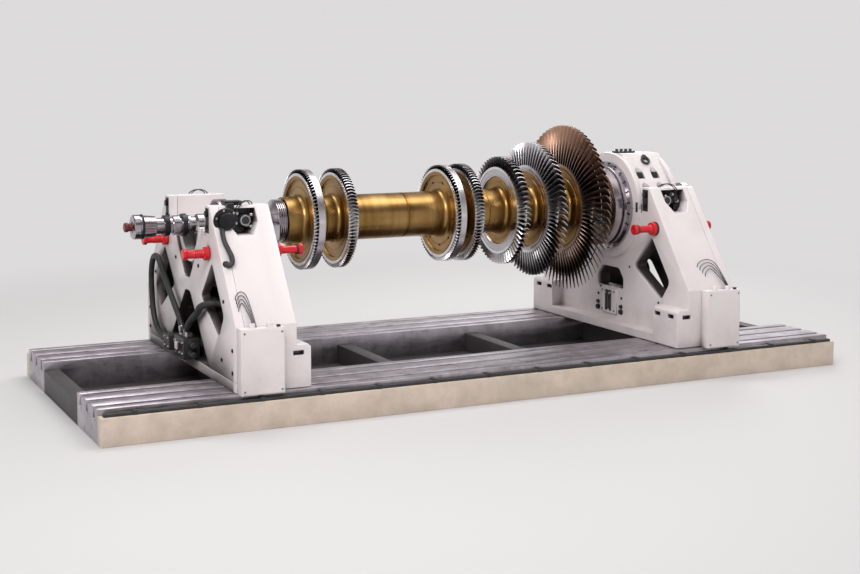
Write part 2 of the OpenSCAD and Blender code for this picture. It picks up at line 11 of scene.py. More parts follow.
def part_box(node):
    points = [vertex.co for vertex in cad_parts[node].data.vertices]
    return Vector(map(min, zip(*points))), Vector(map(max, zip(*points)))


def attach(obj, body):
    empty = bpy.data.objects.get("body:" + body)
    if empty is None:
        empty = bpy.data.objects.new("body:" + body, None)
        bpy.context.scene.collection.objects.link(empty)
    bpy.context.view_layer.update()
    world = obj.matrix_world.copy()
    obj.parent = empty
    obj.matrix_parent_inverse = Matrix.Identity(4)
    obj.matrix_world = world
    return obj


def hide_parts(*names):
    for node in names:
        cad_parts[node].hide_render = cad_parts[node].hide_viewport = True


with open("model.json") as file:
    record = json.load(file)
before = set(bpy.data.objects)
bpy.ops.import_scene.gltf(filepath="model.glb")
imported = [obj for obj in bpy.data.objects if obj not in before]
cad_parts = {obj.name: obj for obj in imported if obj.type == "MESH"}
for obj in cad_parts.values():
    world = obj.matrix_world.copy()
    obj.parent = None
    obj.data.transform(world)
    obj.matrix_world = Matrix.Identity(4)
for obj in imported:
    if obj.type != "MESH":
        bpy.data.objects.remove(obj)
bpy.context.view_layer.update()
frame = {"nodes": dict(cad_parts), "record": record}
scene = bpy.context.scene

# Sizes of the CAD model that pieces here line up with, in metres

MM = 0.001
TURN = 2 * math.pi
FIT = 0.0002
BED_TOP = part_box("bed_rail_front")[1][2]
AXIS_UP = 0.810
AXIS_Z = BED_TOP + AXIS_UP
PED_X = 1.195
PED_HALF = 0.855
WEB = 0.080
OUTER = 0.420
HORN_OUT = 0.430
HORN_TOP = 0.950
SHOULDER = 0.350
ARCH_FRONT = 0.056
BLOCK_FRONT = 0.485
BOX_MIDDLE = 0.295
WINDOW_U = 0.250
SLOPE = (PED_HALF - HORN_OUT) / (HORN_TOP - SHOULDER)

RIM_R = 0.258
RING_DEEP = 0.016
DRUM_R = 0.137
CORE_R = 0.100
BORE_R = CORE_R + FIT
GLAND_R = 0.118
ROW_X = [-0.940, -0.723, -0.017, 0.112, 0.405, 0.620, 0.868]
ROW_W = [0.064, 0.062, 0.060, 0.062, 0.068, 0.078, 0.084]
ROW_RIM = [RIM_R, RIM_R, RIM_R, RIM_R, 0.259, 0.265, 0.265]
RIM_DEEP = [0.024, 0.024, 0.024, 0.024, 0.045, 0.024, 0.024]
TIP_R = [0.298, 0.298, 0.299, 0.303]
SHROUDED = (0, 2)
SHROUD_BACK = 0.022
STEEL_RIMS = (4, 5)
BLADES_SHORT = 84
JOINTS = [-1.040, -0.7995, -0.616, -0.060, 0.0775, 0.2895, 0.5465, 0.783, 1.060]
SIDES = {"left": -1, "right": 1}

# Camera: the place and direction from which the photograph was taken

CAMERA_PLACE = (-3.958, -7.822, BED_TOP + 1.65)
CAMERA_YAW = 0.4549
CAMERA_PITCH = 0.0801
PHOTO_WIDTH = 860
PHOTO_HEIGHT = 574
PHOTO_FOCAL = 885.6
SENSOR = 36.0
ZOOM = 1.6
WINDOW_CENTRE = (436.5, 347.0)


def add_object(name, data):
    made = bpy.data.objects.new(name, data)
    scene.collection.objects.link(made)
    return made


def make_camera():
    data = bpy.data.cameras.new("view_camera")
    data.sensor_width = SENSOR
    data.lens = SENSOR * PHOTO_FOCAL / PHOTO_WIDTH * ZOOM
    data.shift_x = (WINDOW_CENTRE[0] - PHOTO_WIDTH / 2) / PHOTO_WIDTH * ZOOM
    data.shift_y = -(WINDOW_CENTRE[1] - PHOTO_HEIGHT / 2) / PHOTO_WIDTH * ZOOM
    data.clip_end = 200
    camera = add_object("view_camera", data)
    camera.location = CAMERA_PLACE
    look = Vector((math.sin(CAMERA_YAW) * math.cos(CAMERA_PITCH),
                   math.cos(CAMERA_YAW) * math.cos(CAMERA_PITCH),
                   -math.sin(CAMERA_PITCH)))
    camera.rotation_euler = look.to_track_quat("-Z", "Y").to_euler()
    scene.camera = camera


# Materials

def new_material(name):
    material = bpy.data.materials.new(name)
    material.use_nodes = True
    tree = material.node_tree
    return material, tree, tree.nodes["Principled BSDF"]


def join(tree, value, socket):
    """Links a node's output to a socket, or sets the socket to a number, a vector or a colour."""
    if hasattr(value, "is_linked"):
        tree.links.new(value, socket)
    elif isinstance(value, tuple) and len(socket.default_value) > len(value):
        socket.default_value = (*value, 1)
    else:
        socket.default_value = value


def node(tree, kind, inputs=None, **settings):
    """A new shader node, with values or other nodes' outputs for its inputs."""
    made = tree.nodes.new(kind)
    for key, value in settings.items():
        setattr(made, key, value)
    for key, value in (inputs or {}).items():
        join(tree, value, made.inputs[key])
    return made


def calc(tree, operation, *values):
    return node(tree, "ShaderNodeMath", dict(enumerate(values)), operation=operation).outputs[0]


def level_between(tree, value, start, end, first=0.0, last=1.0, **settings):
    """Runs from first to last while the value runs from start to end."""
    inputs = {"Value": value, "From Min": start, "From Max": end, "To Min": first, "To Max": last}
    return node(tree, "ShaderNodeMapRange", inputs, **settings).outputs[0]


def vector_length(tree, vector):
    return node(tree, "ShaderNodeVectorMath", {0: vector}, operation="LENGTH").outputs["Value"]


def object_point(tree):
    """The shaded point in the model's frame, and its x, y and z."""
    point = node(tree, "ShaderNodeTexCoord").outputs["Object"]
    return point, node(tree, "ShaderNodeSeparateXYZ", {0: point}).outputs


def coordinates(tree, scale=(1, 1, 1)):
    point = node(tree, "ShaderNodeTexCoord").outputs["Object"]
    return node(tree, "ShaderNodeMapping", {"Vector": point, "Scale": scale}).outputs["Vector"]


def noise(tree, vector, scale, detail=4, rough=0.55):
    inputs = {"Vector": vector, "Scale": scale, "Detail": detail, "Roughness": rough}
    return node(tree, "ShaderNodeTexNoise", inputs).outputs["Fac"]


def ramp(tree, value, stops):
    made = node(tree, "ShaderNodeValToRGB", {"Fac": value})
    while len(made.color_ramp.elements) < len(stops):
        made.color_ramp.elements.new(0.5)
    for element, (place, colour) in zip(made.color_ramp.elements, stops):
        element.position = place
        element.color = (*colour, 1)
    return made.outputs["Color"]


def grey_ramp(tree, value, stops):
    return ramp(tree, value, [(place, (level,) * 3) for place, level in stops])


def mix_colour(tree, factor, a, b, blend="MIX"):
    inputs = {0: factor, 6: a, 7: b}
    return node(tree, "ShaderNodeMix", inputs, data_type="RGBA", blend_type=blend).outputs[2]


def low_grime(tree, top, amount):
    """Dirt that gathers towards the bottom of a piece, broken up by noise."""
    point, parts = object_point(tree)
    reach = level_between(tree, parts["Z"], BED_TOP, top, amount, 0.0)
    cloud = noise(tree, point, 7, 6, 0.65)
    return calc(tree, "MULTIPLY", reach, grey_ramp(tree, cloud, [(0.38, 0.0), (0.72, 1.0)]))


def openness(tree, reach):
    """How much of a point's surroundings is free, out to the reach."""
    return node(tree, "ShaderNodeAmbientOcclusion", {"Distance": reach}, samples=8).outputs["AO"]


# Painted shade: mixes a colour towards a dark one where a point's surroundings are blocked, as in
# hollows, gaps and corners; on the pedestals the dark colour also stands for oily grime
def hollow_shade_and_grime(tree, base, shade_and_grime, reach=0.32, low=0.22, high=0.48):
    share = grey_ramp(tree, openness(tree, reach), [(low, 0.0), (high, 1.0)])
    return mix_colour(tree, share, shade_and_grime, base)


def casting_inside_shade_and_grime(tree, base, shade_and_grime):
    """Painted shade in a pedestal's hollow between its web and its outer plate, darkened towards a
    near-black that also stands for oily grime on the casting.
    """
    _, parts = object_point(tree)
    along = calc(tree, "ABSOLUTE", parts["X"])
    across = calc(tree, "ABSOLUTE", parts["Y"])
    over = calc(tree, "MAXIMUM", calc(tree, "SUBTRACT", parts["Z"], BED_TOP + SHOULDER), 0.0)
    edge = calc(tree, "MULTIPLY_ADD", over, SLOPE, across)
    deep = level_between(tree, along, PED_X + WEB + 0.004, PED_X + WEB + 0.030)
    within = level_between(tree, edge, PED_HALF - 0.055, PED_HALF - 0.030, 1.0, 0.0)
    below = calc(tree, "LESS_THAN", parts["Z"], AXIS_Z - 0.045)
    share = grey_ramp(tree, openness(tree, 0.5), [(0.55, 1.0), (0.78, 0.0)])
    for limit in (deep, within, below):
        share = calc(tree, "MULTIPLY", share, limit)
    return mix_colour(tree, share, base, shade_and_grime)


def finished(made, base, cloud, levels, relief, metallic=1.0):
    """Gives a new material its colour, its roughness by a noise's levels, and its fine relief."""
    material, tree, shader = made
    bump = node(tree, "ShaderNodeBump", dict(zip(("Height", "Strength", "Distance"), relief)))
    for name, value in (("Normal", bump.outputs["Normal"]), ("Base Color", base),
                        ("Roughness", grey_ramp(tree, cloud, levels)), ("Metallic", metallic)):
        join(tree, value, shader.inputs[name])
    return material


def paint(name, colour, stain, rough=0.36, grime=0.3, low=0.5, inside_shade_and_grime=None):
    made = new_material(name)
    tree = made[1]
    place = coordinates(tree)
    patches = noise(tree, place, 2.2, 5)
    base = mix_colour(tree, grey_ramp(tree, patches, [(0.5, 0.0), (0.8, grime)]), colour, stain)
    specks = grey_ramp(tree, noise(tree, place, 46, 3), [(0.68, 0.0), (0.76, grime * 0.8)])
    base = mix_colour(tree, specks, base, stain)
    base = mix_colour(tree, low_grime(tree, BED_TOP + 0.35, low), base, stain)
    # Painted shade, partly oily grime, in hollows and within the pedestals, towards the near-black
    # colour given here
    if inside_shade_and_grime:
        base = casting_inside_shade_and_grime(tree, hollow_shade_and_grime(tree, base, inside_shade_and_grime), inside_shade_and_grime)
    return finished(made, base, patches, [(0.3, rough - 0.06), (0.8, rough + 0.16)],
                    (noise(tree, place, 240, 2), 0.12, 0.0006), 0.0)


def metal(name, dark, light, rough=0.3, grain=(1, 1, 1), grain_scale=60, grain_bump=0.1, spread=0.1,
          oil=None):
    made = new_material(name)
    tree = made[1]
    place = coordinates(tree)
    brushed = noise(tree, coordinates(tree, grain), grain_scale, 4)
    base = ramp(tree, noise(tree, place, 5, 5), [(0.3, dark), (0.7, light)])
    base = mix_colour(tree, 1.0, base, grey_ramp(tree, brushed, [(0.3, 0.82), (0.7, 1.0)]), "MULTIPLY")
    if oil:
        blots = grey_ramp(tree, noise(tree, place, 11, 6, 0.7), [(0.5, 0.0), (0.7, 0.85)])
        base = mix_colour(tree, blots, base, oil)
    return finished(made, base, brushed, [(0.25, rough - spread), (0.75, rough + spread)],
                    (brushed, grain_bump, 0.0004))


def axis_radius(tree):
    """(distance along the rotor's axis, distance from it, place) of the shaded point."""
    point, parts = object_point(tree)
    inputs = {0: point, 1: (0, 1, 1), 2: (0, 0, -AXIS_Z)}
    shift = node(tree, "ShaderNodeVectorMath", inputs, operation="MULTIPLY_ADD")
    return parts["X"], vector_length(tree, shift.outputs[0]), point


def turned(name, dark, light, tint, rough, line_bump=0.25):
    """Turned steel: fine rings round the rotor's axis, and heat tints that change along it."""
    made = new_material(name)
    tree = made[1]
    along, radius, _ = axis_radius(tree)
    ring_place = node(tree, "ShaderNodeCombineXYZ", {0: along, 1: radius}).outputs[0]
    rings = noise(tree, ring_place, 420, 3, 0.6)
    bands = noise(tree, ring_place, 16, 3, 0.5)
    cloud = noise(tree, coordinates(tree), 4.5, 6, 0.6)
    base = ramp(tree, cloud, [(0.3, dark), (0.72, light)])
    base = mix_colour(tree, grey_ramp(tree, bands, [(0.42, 0.0), (0.7, 0.75)]), base, tint)
    base = mix_colour(tree, 1.0, base, grey_ramp(tree, rings, [(0.3, 0.8), (0.7, 1.0)]), "MULTIPLY")
    return finished(made, base, cloud, [(0.3, rough - 0.05), (0.75, rough + 0.12)],
                    (rings, line_bump, 0.0003))


def bladed(name, root, tip, edge, rough, inner, outer):
    """Blade steel darker at the root than the tip, partly by tint and partly by painted shade, with
    small spots, lighter sharp edges that are partly wear and partly painted highlight, and painted shade
    in its gaps.
    """
    made = new_material(name)
    tree = made[1]
    _, radius, place = axis_radius(tree)
    cloud = noise(tree, place, 9, 6, 0.6)
    stirred = calc(tree, "MULTIPLY_ADD", cloud, 0.7, -0.35)
    # Darker towards the roots: partly tint, partly painted shade
    level = calc(tree, "ADD", level_between(tree, radius, inner, outer), stirred)
    base = ramp(tree, level, [(0.05, root), (0.95, tip)])
    spots = grey_ramp(tree, noise(tree, place, 120, 3), [(0.6, 0.0), (0.75, 0.5)])
    base = mix_colour(tree, spots, base, root)
    # Lighter sharp edges: partly wear, partly painted highlight
    pointed = node(tree, "ShaderNodeNewGeometry").outputs["Pointiness"]
    base = mix_colour(tree, grey_ramp(tree, pointed, [(0.52, 0.0), (0.62, 1.0)]), base, edge)
    # Painted shade in the gaps between blades and at their roots
    base = hollow_shade_and_grime(tree, base, (0.02, 0.016, 0.016), 0.06, 0.24, 0.68)
    return finished(made, base, cloud, [(0.3, rough - 0.06), (0.75, rough + 0.12)],
                    (noise(tree, place, 420, 2), 0.15, 0.0003))


def rubber(name, colour, rough=0.5):
    made = new_material(name)
    tree = made[1]
    place = coordinates(tree)
    dust = noise(tree, place, 18, 5)
    base = ramp(tree, dust, [(0.4, colour), (0.85, tuple(c + 0.035 for c in colour))])
    return finished(made, base, dust, [(0.3, rough - 0.1), (0.8, rough + 0.2)],
                    (noise(tree, place, 320, 2), 0.2, 0.0005), 0.0)


def build_materials():
    made = [
        # white_paint's last colour is painted shade, partly oily grime, for hollows and the pedestals'
        # cavities
        paint("white_paint", (0.76, 0.70, 0.70), (0.40, 0.33, 0.31), low=0.35,
              inside_shade_and_grime=(0.045, 0.036, 0.034)),
        paint("cream_paint", (0.66, 0.55, 0.46), (0.34, 0.27, 0.21), 0.45, 0.5),
        paint("red_paint", (0.60, 0.012, 0.018), (0.25, 0.01, 0.01), 0.3, 0.4, 0),
        metal("rail_steel", (0.42, 0.385, 0.425), (0.68, 0.635, 0.685), 0.38, (1, 30, 30), 8, 0.2,
              0.12, (0.27, 0.24, 0.26)),
        paint("dark_steel", (0.045, 0.04, 0.042), (0.09, 0.075, 0.07), 0.5, 0.6, 0),
        metal("machine_steel", (0.16, 0.15, 0.15), (0.38, 0.37, 0.38), 0.36, oil=(0.05, 0.04, 0.035)),
        metal("bearing_metal", (0.40, 0.38, 0.36), (0.60, 0.57, 0.52)),
        turned("polished_steel", (0.48, 0.45, 0.48), (0.66, 0.63, 0.66), (0.36, 0.32, 0.37), 0.16, 0.12),
        paint("black_steel", (0.022, 0.02, 0.022), (0.07, 0.06, 0.055), 0.4, 0.5, 0),
        rubber("black_plastic", (0.02, 0.02, 0.02)),
        rubber("black_rubber", (0.018, 0.018, 0.02)),
        metal("tinted_steel", (0.36, 0.30, 0.38), (0.56, 0.50, 0.58)),
        turned("gold_steel", (0.29, 0.165, 0.05), (0.54, 0.34, 0.13), (0.24, 0.13, 0.035), 0.29),
        # Blades: the dark root colours are partly painted shade, the light edge colours partly painted
        # highlight
        bladed("brown_blades", (0.13, 0.07, 0.05), (0.36, 0.205, 0.14), (0.62, 0.48, 0.40), 0.34,
               0.27, 0.53),
        bladed("blade_steel", (0.30, 0.27, 0.28), (0.60, 0.57, 0.60), (0.8, 0.78, 0.8), 0.27,
               0.24, 0.42),
        # cap_red is the red paint darkened: painted shade on the shaft's end cap
        paint("cap_red", (0.12, 0.012, 0.014), (0.05, 0.01, 0.01), 0.35, 0.5, 0),
        metal("bolt_black", (0.03, 0.03, 0.032), (0.07, 0.065, 0.07), 0.38),
        metal("bolt_bright", (0.36, 0.35, 0.36), (0.6, 0.58, 0.6), 0.28),
        # recess_dark: near-black that is painted shade in holes, slots, screw sockets and recesses; it
        # also colours the rings behind the spools and the small block on each junction box
        paint("recess_dark", (0.02, 0.018, 0.018), (0.05, 0.04, 0.035), 0.6, 0.5, 0),
    ]
    # Blender numbers a name that a material of the CAD model already has
    return {material.name.split(".")[0]: material for material in made}


# Mesh building

class Build:
    """Collects closed shells in one mesh."""

    def __init__(self):
        self.verts = []
        self.faces = []

    def add(self, verts, faces):
        base = len(self.verts)
        self.verts.extend(verts)
        self.faces.extend([tuple(base + i for i in face) for face in faces])

    def make(self, name, material, body, angle=32):
        mesh = bpy.data.meshes.new(name)
        mesh.from_pydata([tuple(v) for v in self.verts], [], self.faces)
        mesh.validate()
        mesh.update()
        made = add_object(name, mesh)
        mesh.materials.append(MATERIALS[material])
        tidy_normals(mesh, angle)
        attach(made, body)
        return made


def tidy_normals(mesh, angle):
    work = bmesh.new()
    work.from_mesh(mesh)
    bmesh.ops.recalc_face_normals(work, faces=work.faces)
    for face in work.faces:
        face.smooth = True
    limit = math.radians(angle)
    for edge in work.edges:
        if len(edge.link_faces) == 2 and edge.calc_face_angle(0) > limit:
            edge.smooth = False
    work.to_mesh(mesh)
    work.free()


def basis(axis):
    w = Vector(axis).normalized()
    helper = Vector((0, 0, 1)) if abs(w.z) < 0.9 else Vector((1, 0, 0))
    u = helper.cross(w).normalized()
    return u, w.cross(u), w


def circle(origin, u, v, radius, segments):
    turns = [TURN * k / segments for k in range(segments)]
    return [origin + (u * math.cos(a) + v * math.sin(a)) * radius for a in turns]


def wall(low, high, sides):
    """Quads between two rings of points, each given by its first point."""
    return [(low + k, low + (k + 1) % sides, high + (k + 1) % sides, high + k) for k in range(sides)]


def skin(rings, sides):
    """The sides between rings of points that follow one another, then the two end faces."""
    faces = []
    for low in range(0, (rings - 1) * sides, sides):
        faces += wall(low, low + sides, sides)
    faces.append(tuple(reversed(range(sides))))
    faces.append(tuple(range((rings - 1) * sides, rings * sides)))
    return faces


# The faces of a box whose corners run through x, then y, then z
BOX_FACES = [(0, 1, 3, 2), (4, 6, 7, 5), (0, 4, 5, 1), (2, 3, 7, 6), (0, 2, 6, 4), (1, 5, 7, 3)]


def lathe(build, profile, origin, axis, segments=32, closed=False):
    """Turns (radius, height) pairs round an axis. Ends that don't reach the axis are capped flat."""
    u, v, w = basis(axis)
    origin = Vector(origin)
    verts = []
    rings = []
    for radius, height in profile:
        first, middle = len(verts), origin + w * height
        verts += circle(middle, u, v, radius, segments) if radius > 1e-7 else [middle]
        rings.append(range(first, len(verts)))
    faces = []
    pairs = list(zip(rings, rings[1:]))
    if closed:
        pairs.append((rings[-1], rings[0]))
    for low, high in pairs:
        if len(low) > 1 and len(high) > 1:
            faces += wall(low[0], high[0], segments)
        elif len(high) > 1:
            faces += [(low[0], high[k], high[(k + 1) % segments]) for k in range(segments)]
        elif len(low) > 1:
            faces += [(low[k], high[0], low[(k + 1) % segments]) for k in range(segments)]
    if not closed:
        if len(rings[0]) > 1:
            faces.append(tuple(reversed(rings[0])))
        if len(rings[-1]) > 1:
            faces.append(tuple(rings[-1]))
    build.add(verts, faces)


def block(build, low, high, chamfer):
    """A box with its edges cut by a small chamfer."""
    ends = [sorted((low[i], high[i])) for i in range(3)]
    c = min([chamfer] + [(b - a) * 0.45 for a, b in ends])
    work = bmesh.new()
    for signs in product((0, 1), repeat=3):
        corner = Vector([ends[i][signs[i]] for i in range(3)])
        inner = corner + Vector([1 - 2 * sign for sign in signs]) * c
        for axis in range(3):
            q = inner.copy()
            q[axis] = corner[axis]
            work.verts.new(q)
    bmesh.ops.convex_hull(work, input=work.verts[:])
    bmesh.ops.dissolve_limit(work, angle_limit=0.01, verts=work.verts[:], edges=work.edges[:])
    work.verts.index_update()
    build.add([v.co.copy() for v in work.verts], [[v.index for v in f.verts] for f in work.faces])
    work.free()


def rod(build, place, axis, radius, length, sides):
    lathe(build, [(0, 0), (radius, 0), (radius, length), (0, length)], place, axis, sides)


def around(radius, count, shift=0.5):
    """Evenly spaced places on a circle, as (across, up) from its middle."""
    turns = [TURN * (k + shift) / count for k in range(count)]
    return [(radius * math.cos(a), radius * math.sin(a)) for a in turns]


def hex_bolt(build, place, axis, flats, height, washer=True):
    u, v, w = basis(axis)
    place = Vector(place)
    base = height * 0.18 if washer else 0.0
    if washer:
        rod(build, place, axis, flats * 0.62, base, 20)
    radius = flats / math.sqrt(3)
    verts = []
    for level, scale in ((base, 1.0), (height * 0.86, 1.0), (height, 0.86)):
        verts += circle(place + w * level, u, v, radius * scale, 6)
    build.add(verts, skin(3, 6))


def socket_bolt(build, dark, place, axis, radius, height):
    """A socket head cap screw, with painted shade in its hex recess as a dark insert."""
    c = radius * 0.12
    deep = height * 0.45
    lathe(build, [(0, 0), (radius, 0), (radius, height - c), (radius - c, height),
                  (radius * 0.55, height), (radius * 0.5, height - deep), (0, height - deep)],
          place, axis, 20)
    # Painted shade: a thin dark hex at the floor of the recess
    lathe(dark, [(0, height - deep + 0.0002), (radius * 0.5, height - deep + 0.0004),
                 (0, height - deep + 0.0006)], place, axis, 6)


def smooth_path(points, per):
    """A smooth line through the points, with per steps between each pair."""
    points = [Vector(p) for p in points]
    line = []
    for i in range(len(points) - 1):
        a = points[max(i - 1, 0)]
        b, c = points[i], points[i + 1]
        d = points[min(i + 2, len(points) - 1)]
        for k in range(per):
            t = k / per
            line.append(0.5 * (2 * b + (c - a) * t + (2 * a - 5 * b + 4 * c - d) * t * t
                               + (3 * b - a - 3 * c + d) * t ** 3))
    line.append(points[-1])
    return line


def even_path(points, step):
    """The same line with a point every step."""
    lengths = [0.0]
    for a, b in zip(points, points[1:]):
        lengths.append(lengths[-1] + (b - a).length)
    total = lengths[-1]
    count = max(2, int(round(total / step)))
    line = []
    j = 0
    for i in range(count + 1):
        want = total * i / count
        while j < len(lengths) - 2 and lengths[j + 1] < want:
            j += 1
        span = lengths[j + 1] - lengths[j]
        t = (want - lengths[j]) / span if span > 0 else 0
        line.append(points[j].lerp(points[j + 1], min(max(t, 0), 1)))
    return line


def tube(build, line, radius, sides=12, scale=lambda i: 1):
    """Sweeps a round section along a line; scale(i) changes its radius at point i."""
    line = [Vector(p) for p in line]
    n = len(line)
    verts = []
    for i in range(n):
        t = (line[min(i + 1, n - 1)] - line[max(i - 1, 0)]).normalized()
        u = basis(t)[0] if i == 0 else u
        u = (u - t * u.dot(t)).normalized()
        verts += circle(line[i], u, t.cross(u), radius * scale(i), sides)
    build.add(verts, skin(n, sides))


def softened(node_name, width, material, segments=2, angle=30):
    """A copy of a CAD node with rounded edges, which takes the node's place."""
    source = frame["nodes"][node_name]
    work = bmesh.new()
    work.from_mesh(source.data)
    bmesh.ops.remove_doubles(work, verts=work.verts[:], dist=1e-5)
    bmesh.ops.dissolve_limit(work, angle_limit=math.radians(0.4), verts=work.verts[:],
                             edges=work.edges[:])
    for face in work.faces:
        face.smooth = True
    mesh = bpy.data.meshes.new(node_name + "_soft")
    work.to_mesh(mesh)
    work.free()
    mesh.materials.append(MATERIALS[material])
    made = add_object(node_name + "_soft", mesh)
    rounding = made.modifiers.new("rounding", "BEVEL")
    rounding.width = width
    rounding.segments = segments
    rounding.limit_method = "ANGLE"
    rounding.angle_limit = math.radians(angle)
    rounding.use_clamp_overlap = True
    rounding.harden_normals = True
    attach(made, ROOT)
    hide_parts(node_name)
    return made


# Rotor

ROTOR = "rotor"
AXIS = (1, 0, 0)
CENTRE = (0, 0, AXIS_Z)
TURN_SIDES = 128
TURNED_EDGE = 28


def row_middle(n):
    return ROW_X[n] + ROW_W[n] / 2


def disc_half(n):
    return ROW_W[n] / 2 - 0.002


def round_axis(x, radius, turn):
    """The point at a distance from the rotor's axis, turned from the top."""
    return Vector((x, -radius * math.sin(turn), AXIS_Z + radius * math.cos(turn)))


def turned_piece(node_name, profile, material):
    """A closed (radius, place) profile turned round the rotor's axis, in the CAD node's place."""
    build = Build()
    lathe(build, profile, CENTRE, AXIS, TURN_SIDES, closed=True)
    made = build.make(node_name + "_turned", material, ROTOR, TURNED_EDGE)
    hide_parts(node_name)
    return made


def fillet(middle, level, radius, start, end, count):
    """A hollow corner as (radius, place), whose arc stands on the level."""
    points = []
    for i in range(count + 1):
        a = math.radians(start + (end - start) * i / count)
        points.append((middle + radius * math.cos(a), level + radius - radius * math.sin(a)))
    return points


def fins(start, end):
    """The sealing fins of a gland, as (radius, place)."""
    height, pitch = 0.007, 0.012
    count = int((end - start) / pitch)
    step = (end - start) / count
    points = []
    for i in range(count):
        for out, share in ((0, 0), (height, 0.35), (height, 0.5), (0, 0.65)):
            points.append((GLAND_R + out, start + (i + share) * step))
    return points


def disc_side(rim, deep, half, reach):
    """One face of a disc, from the hub's end to the rim, as (radius, offset from the middle)."""
    hub_fillet, rim_fillet, edge = 0.030, half * 0.25, 0.003
    low, high = half * 0.62, half * 0.52
    inner, outer = DRUM_R + hub_fillet, rim - deep - rim_fillet
    if low + hub_fillet < reach - 0.002:
        points = [(DRUM_R - edge, reach), (DRUM_R, reach - edge)]
        points += fillet(inner, low, hub_fillet, 180, 90, 10)
    else:
        points = [(DRUM_R, reach), (DRUM_R, low + 0.0005)]
    step_r = inner + (outer - inner) * 0.45
    level = low + (high - low) * 0.45
    for out, back in ((-0.004, 0), (-0.002, 0.002), (0.004, 0.002), (0.006, 0.0004)):
        points.append((step_r + out, level - back))
    points += fillet(outer, high, rim_fillet, 90, 0, 6)
    for out, back in ((0, 0.004), (0.002, 0.001), (0.004, 0), (0.009, 0), (0.0095, 0.002),
                      (0.0125, 0.002), (0.013, 0)):
        points.append((rim - deep + out, half - back))
    return points + [(rim, half)]


def make_disc(n):
    middle, half = row_middle(n), disc_half(n)
    start, end = (JOINTS[n], JOINTS[n + 1]) if n < 2 else (JOINTS[n + 1], JOINTS[n + 2])
    left = disc_side(ROW_RIM[n], RIM_DEEP[n], half, middle - start)
    right = disc_side(ROW_RIM[n], RIM_DEEP[n], half, end - middle)
    profile = [(BORE_R, start)] + [(r, middle - x) for r, x in left]
    profile += [(r, middle + x) for r, x in reversed(right)] + [(BORE_R, end)]
    made = turned_piece("disc_%d" % (n + 1), profile, "gold_steel")
    if n in STEEL_RIMS:
        bare_rim(made.data, ROW_RIM[n] - RIM_DEEP[n] - 0.0005)


def bare_rim(mesh, radius):
    """Gives a disc's faces beyond the radius a second finish, of bare steel."""
    mesh.materials.append(MATERIALS["polished_steel"])
    for face in mesh.polygons:
        if math.hypot(face.center.y, face.center.z - AXIS_Z) > radius:
            face.material_index = 1


def make_drum():
    start, end = JOINTS[2], JOINTS[3]
    line = (0.0012, 0.0015, 0.001)
    profile = [(BORE_R, start), (DRUM_R, start)]
    for place, (deep, edge, floor) in ((start + 0.0515, line), (-0.270, (0.004, 0.0035, 0.003)),
                                       (end - 0.0515, line)):
        profile += [(DRUM_R, place - edge), (DRUM_R - deep, place - floor),
                    (DRUM_R - deep, place + floor), (DRUM_R, place + edge)]
    turned_piece("rotor_drum", profile + [(DRUM_R, end), (BORE_R, end)], "gold_steel")


def drilled_flange(build, x0, x1):
    """The drive flange: a disc with a ring of through holes and a shallow recess."""
    radius, recess, deep, pitch_r, hole_r, holes = 0.128, 0.046, 0.008, 0.104, 0.009, 8
    sides, hole_sides = 96, 24
    origin = Vector(CENTRE)
    u, v, w = basis(AXIS)
    verts = []
    for x, r in ((x0, radius - 0.002), (x0 + 0.002, radius), (x1 - 0.003, radius), (x1, radius - 0.003)):
        verts += circle(origin + w * x, u, v, r, sides)
    faces = skin(4, sides)[:-2]
    starts = {x0: [], x1: []}
    for x in (x0, x1):
        for middle in circle(origin + w * x, u, v, pitch_r, 2 * holes)[1::2]:
            starts[x].append(len(verts))
            verts += circle(middle, u, v, hole_r, hole_sides)
    for low, high in zip(starts[x0], starts[x1]):
        faces += wall(low, high, hole_sides)
    rim, floor = len(verts), len(verts) + sides
    verts += circle(origin + w * x1, u, v, recess, sides)
    verts += circle(origin + w * (x1 - deep), u, v, recess, sides)
    faces += wall(rim, floor, sides)
    faces.append(tuple(range(floor, floor + sides)))
    for outline, x, inner in ((0, x0, []), (3 * sides, x1, [rim])):
        loops = [list(range(i, i + sides)) for i in [outline] + inner]
        loops += [list(range(i, i + hole_sides)) for i in starts[x]]
        flat = [i for loop in loops for i in loop]
        for tri in tessellate_polygon([[verts[i] for i in loop] for loop in loops]):
            faces.append(tuple(flat[i] for i in tri))
    build.add(verts, faces)


def make_shaft():
    free, drive = -1.930, 1.860
    bearing, land = 1.461, 0.096
    thin, jf, jd = 0.046, 0.060, 0.100
    profile = [(0, 0.012), (0.010, 0.012), (0.014, 0.006), (0.030, 0.006), (0.034, 0), (0.064, 0),
               (0.070, 0.005), (0.070, 0.034), (0.0685, 0.036), (0.066, 0.060), (0.0655, 0.062),
               (0.058, 0.128), (0.056, 0.130), (thin, 0.130)]
    profile = [(r, free + x) for r, x in profile]
    profile += [(thin, -1.701), (0.055, -1.701), (0.057, -1.699), (0.057, -1.664), (0.055, -1.662),
                (thin, -1.662), (thin, -bearing - land - 0.014), (jf, -bearing - land),
                (jf, -bearing + land), (jf + 0.014, -bearing + land + 0.014), (jf + 0.014, -1.126),
                (CORE_R, -1.112)]
    profile += fins(-1.100, JOINTS[0])
    profile += [(CORE_R, JOINTS[0]), (CORE_R, bearing + land), (jd - 0.014, bearing + land + 0.014)]
    for r, back in ((0.014, 0.060), (0.011, 0.050), (0.004, 0.042), (0, 0.040), (jd, 0.040)):
        profile.append((jd - r, drive - back))
    build = Build()
    lathe(build, profile, CENTRE, AXIS, TURN_SIDES)
    drilled_flange(build, drive - 0.040, drive)
    made = build.make("rotor_shaft_turned", "polished_steel", ROTOR, TURNED_EDGE)
    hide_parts("rotor_shaft")


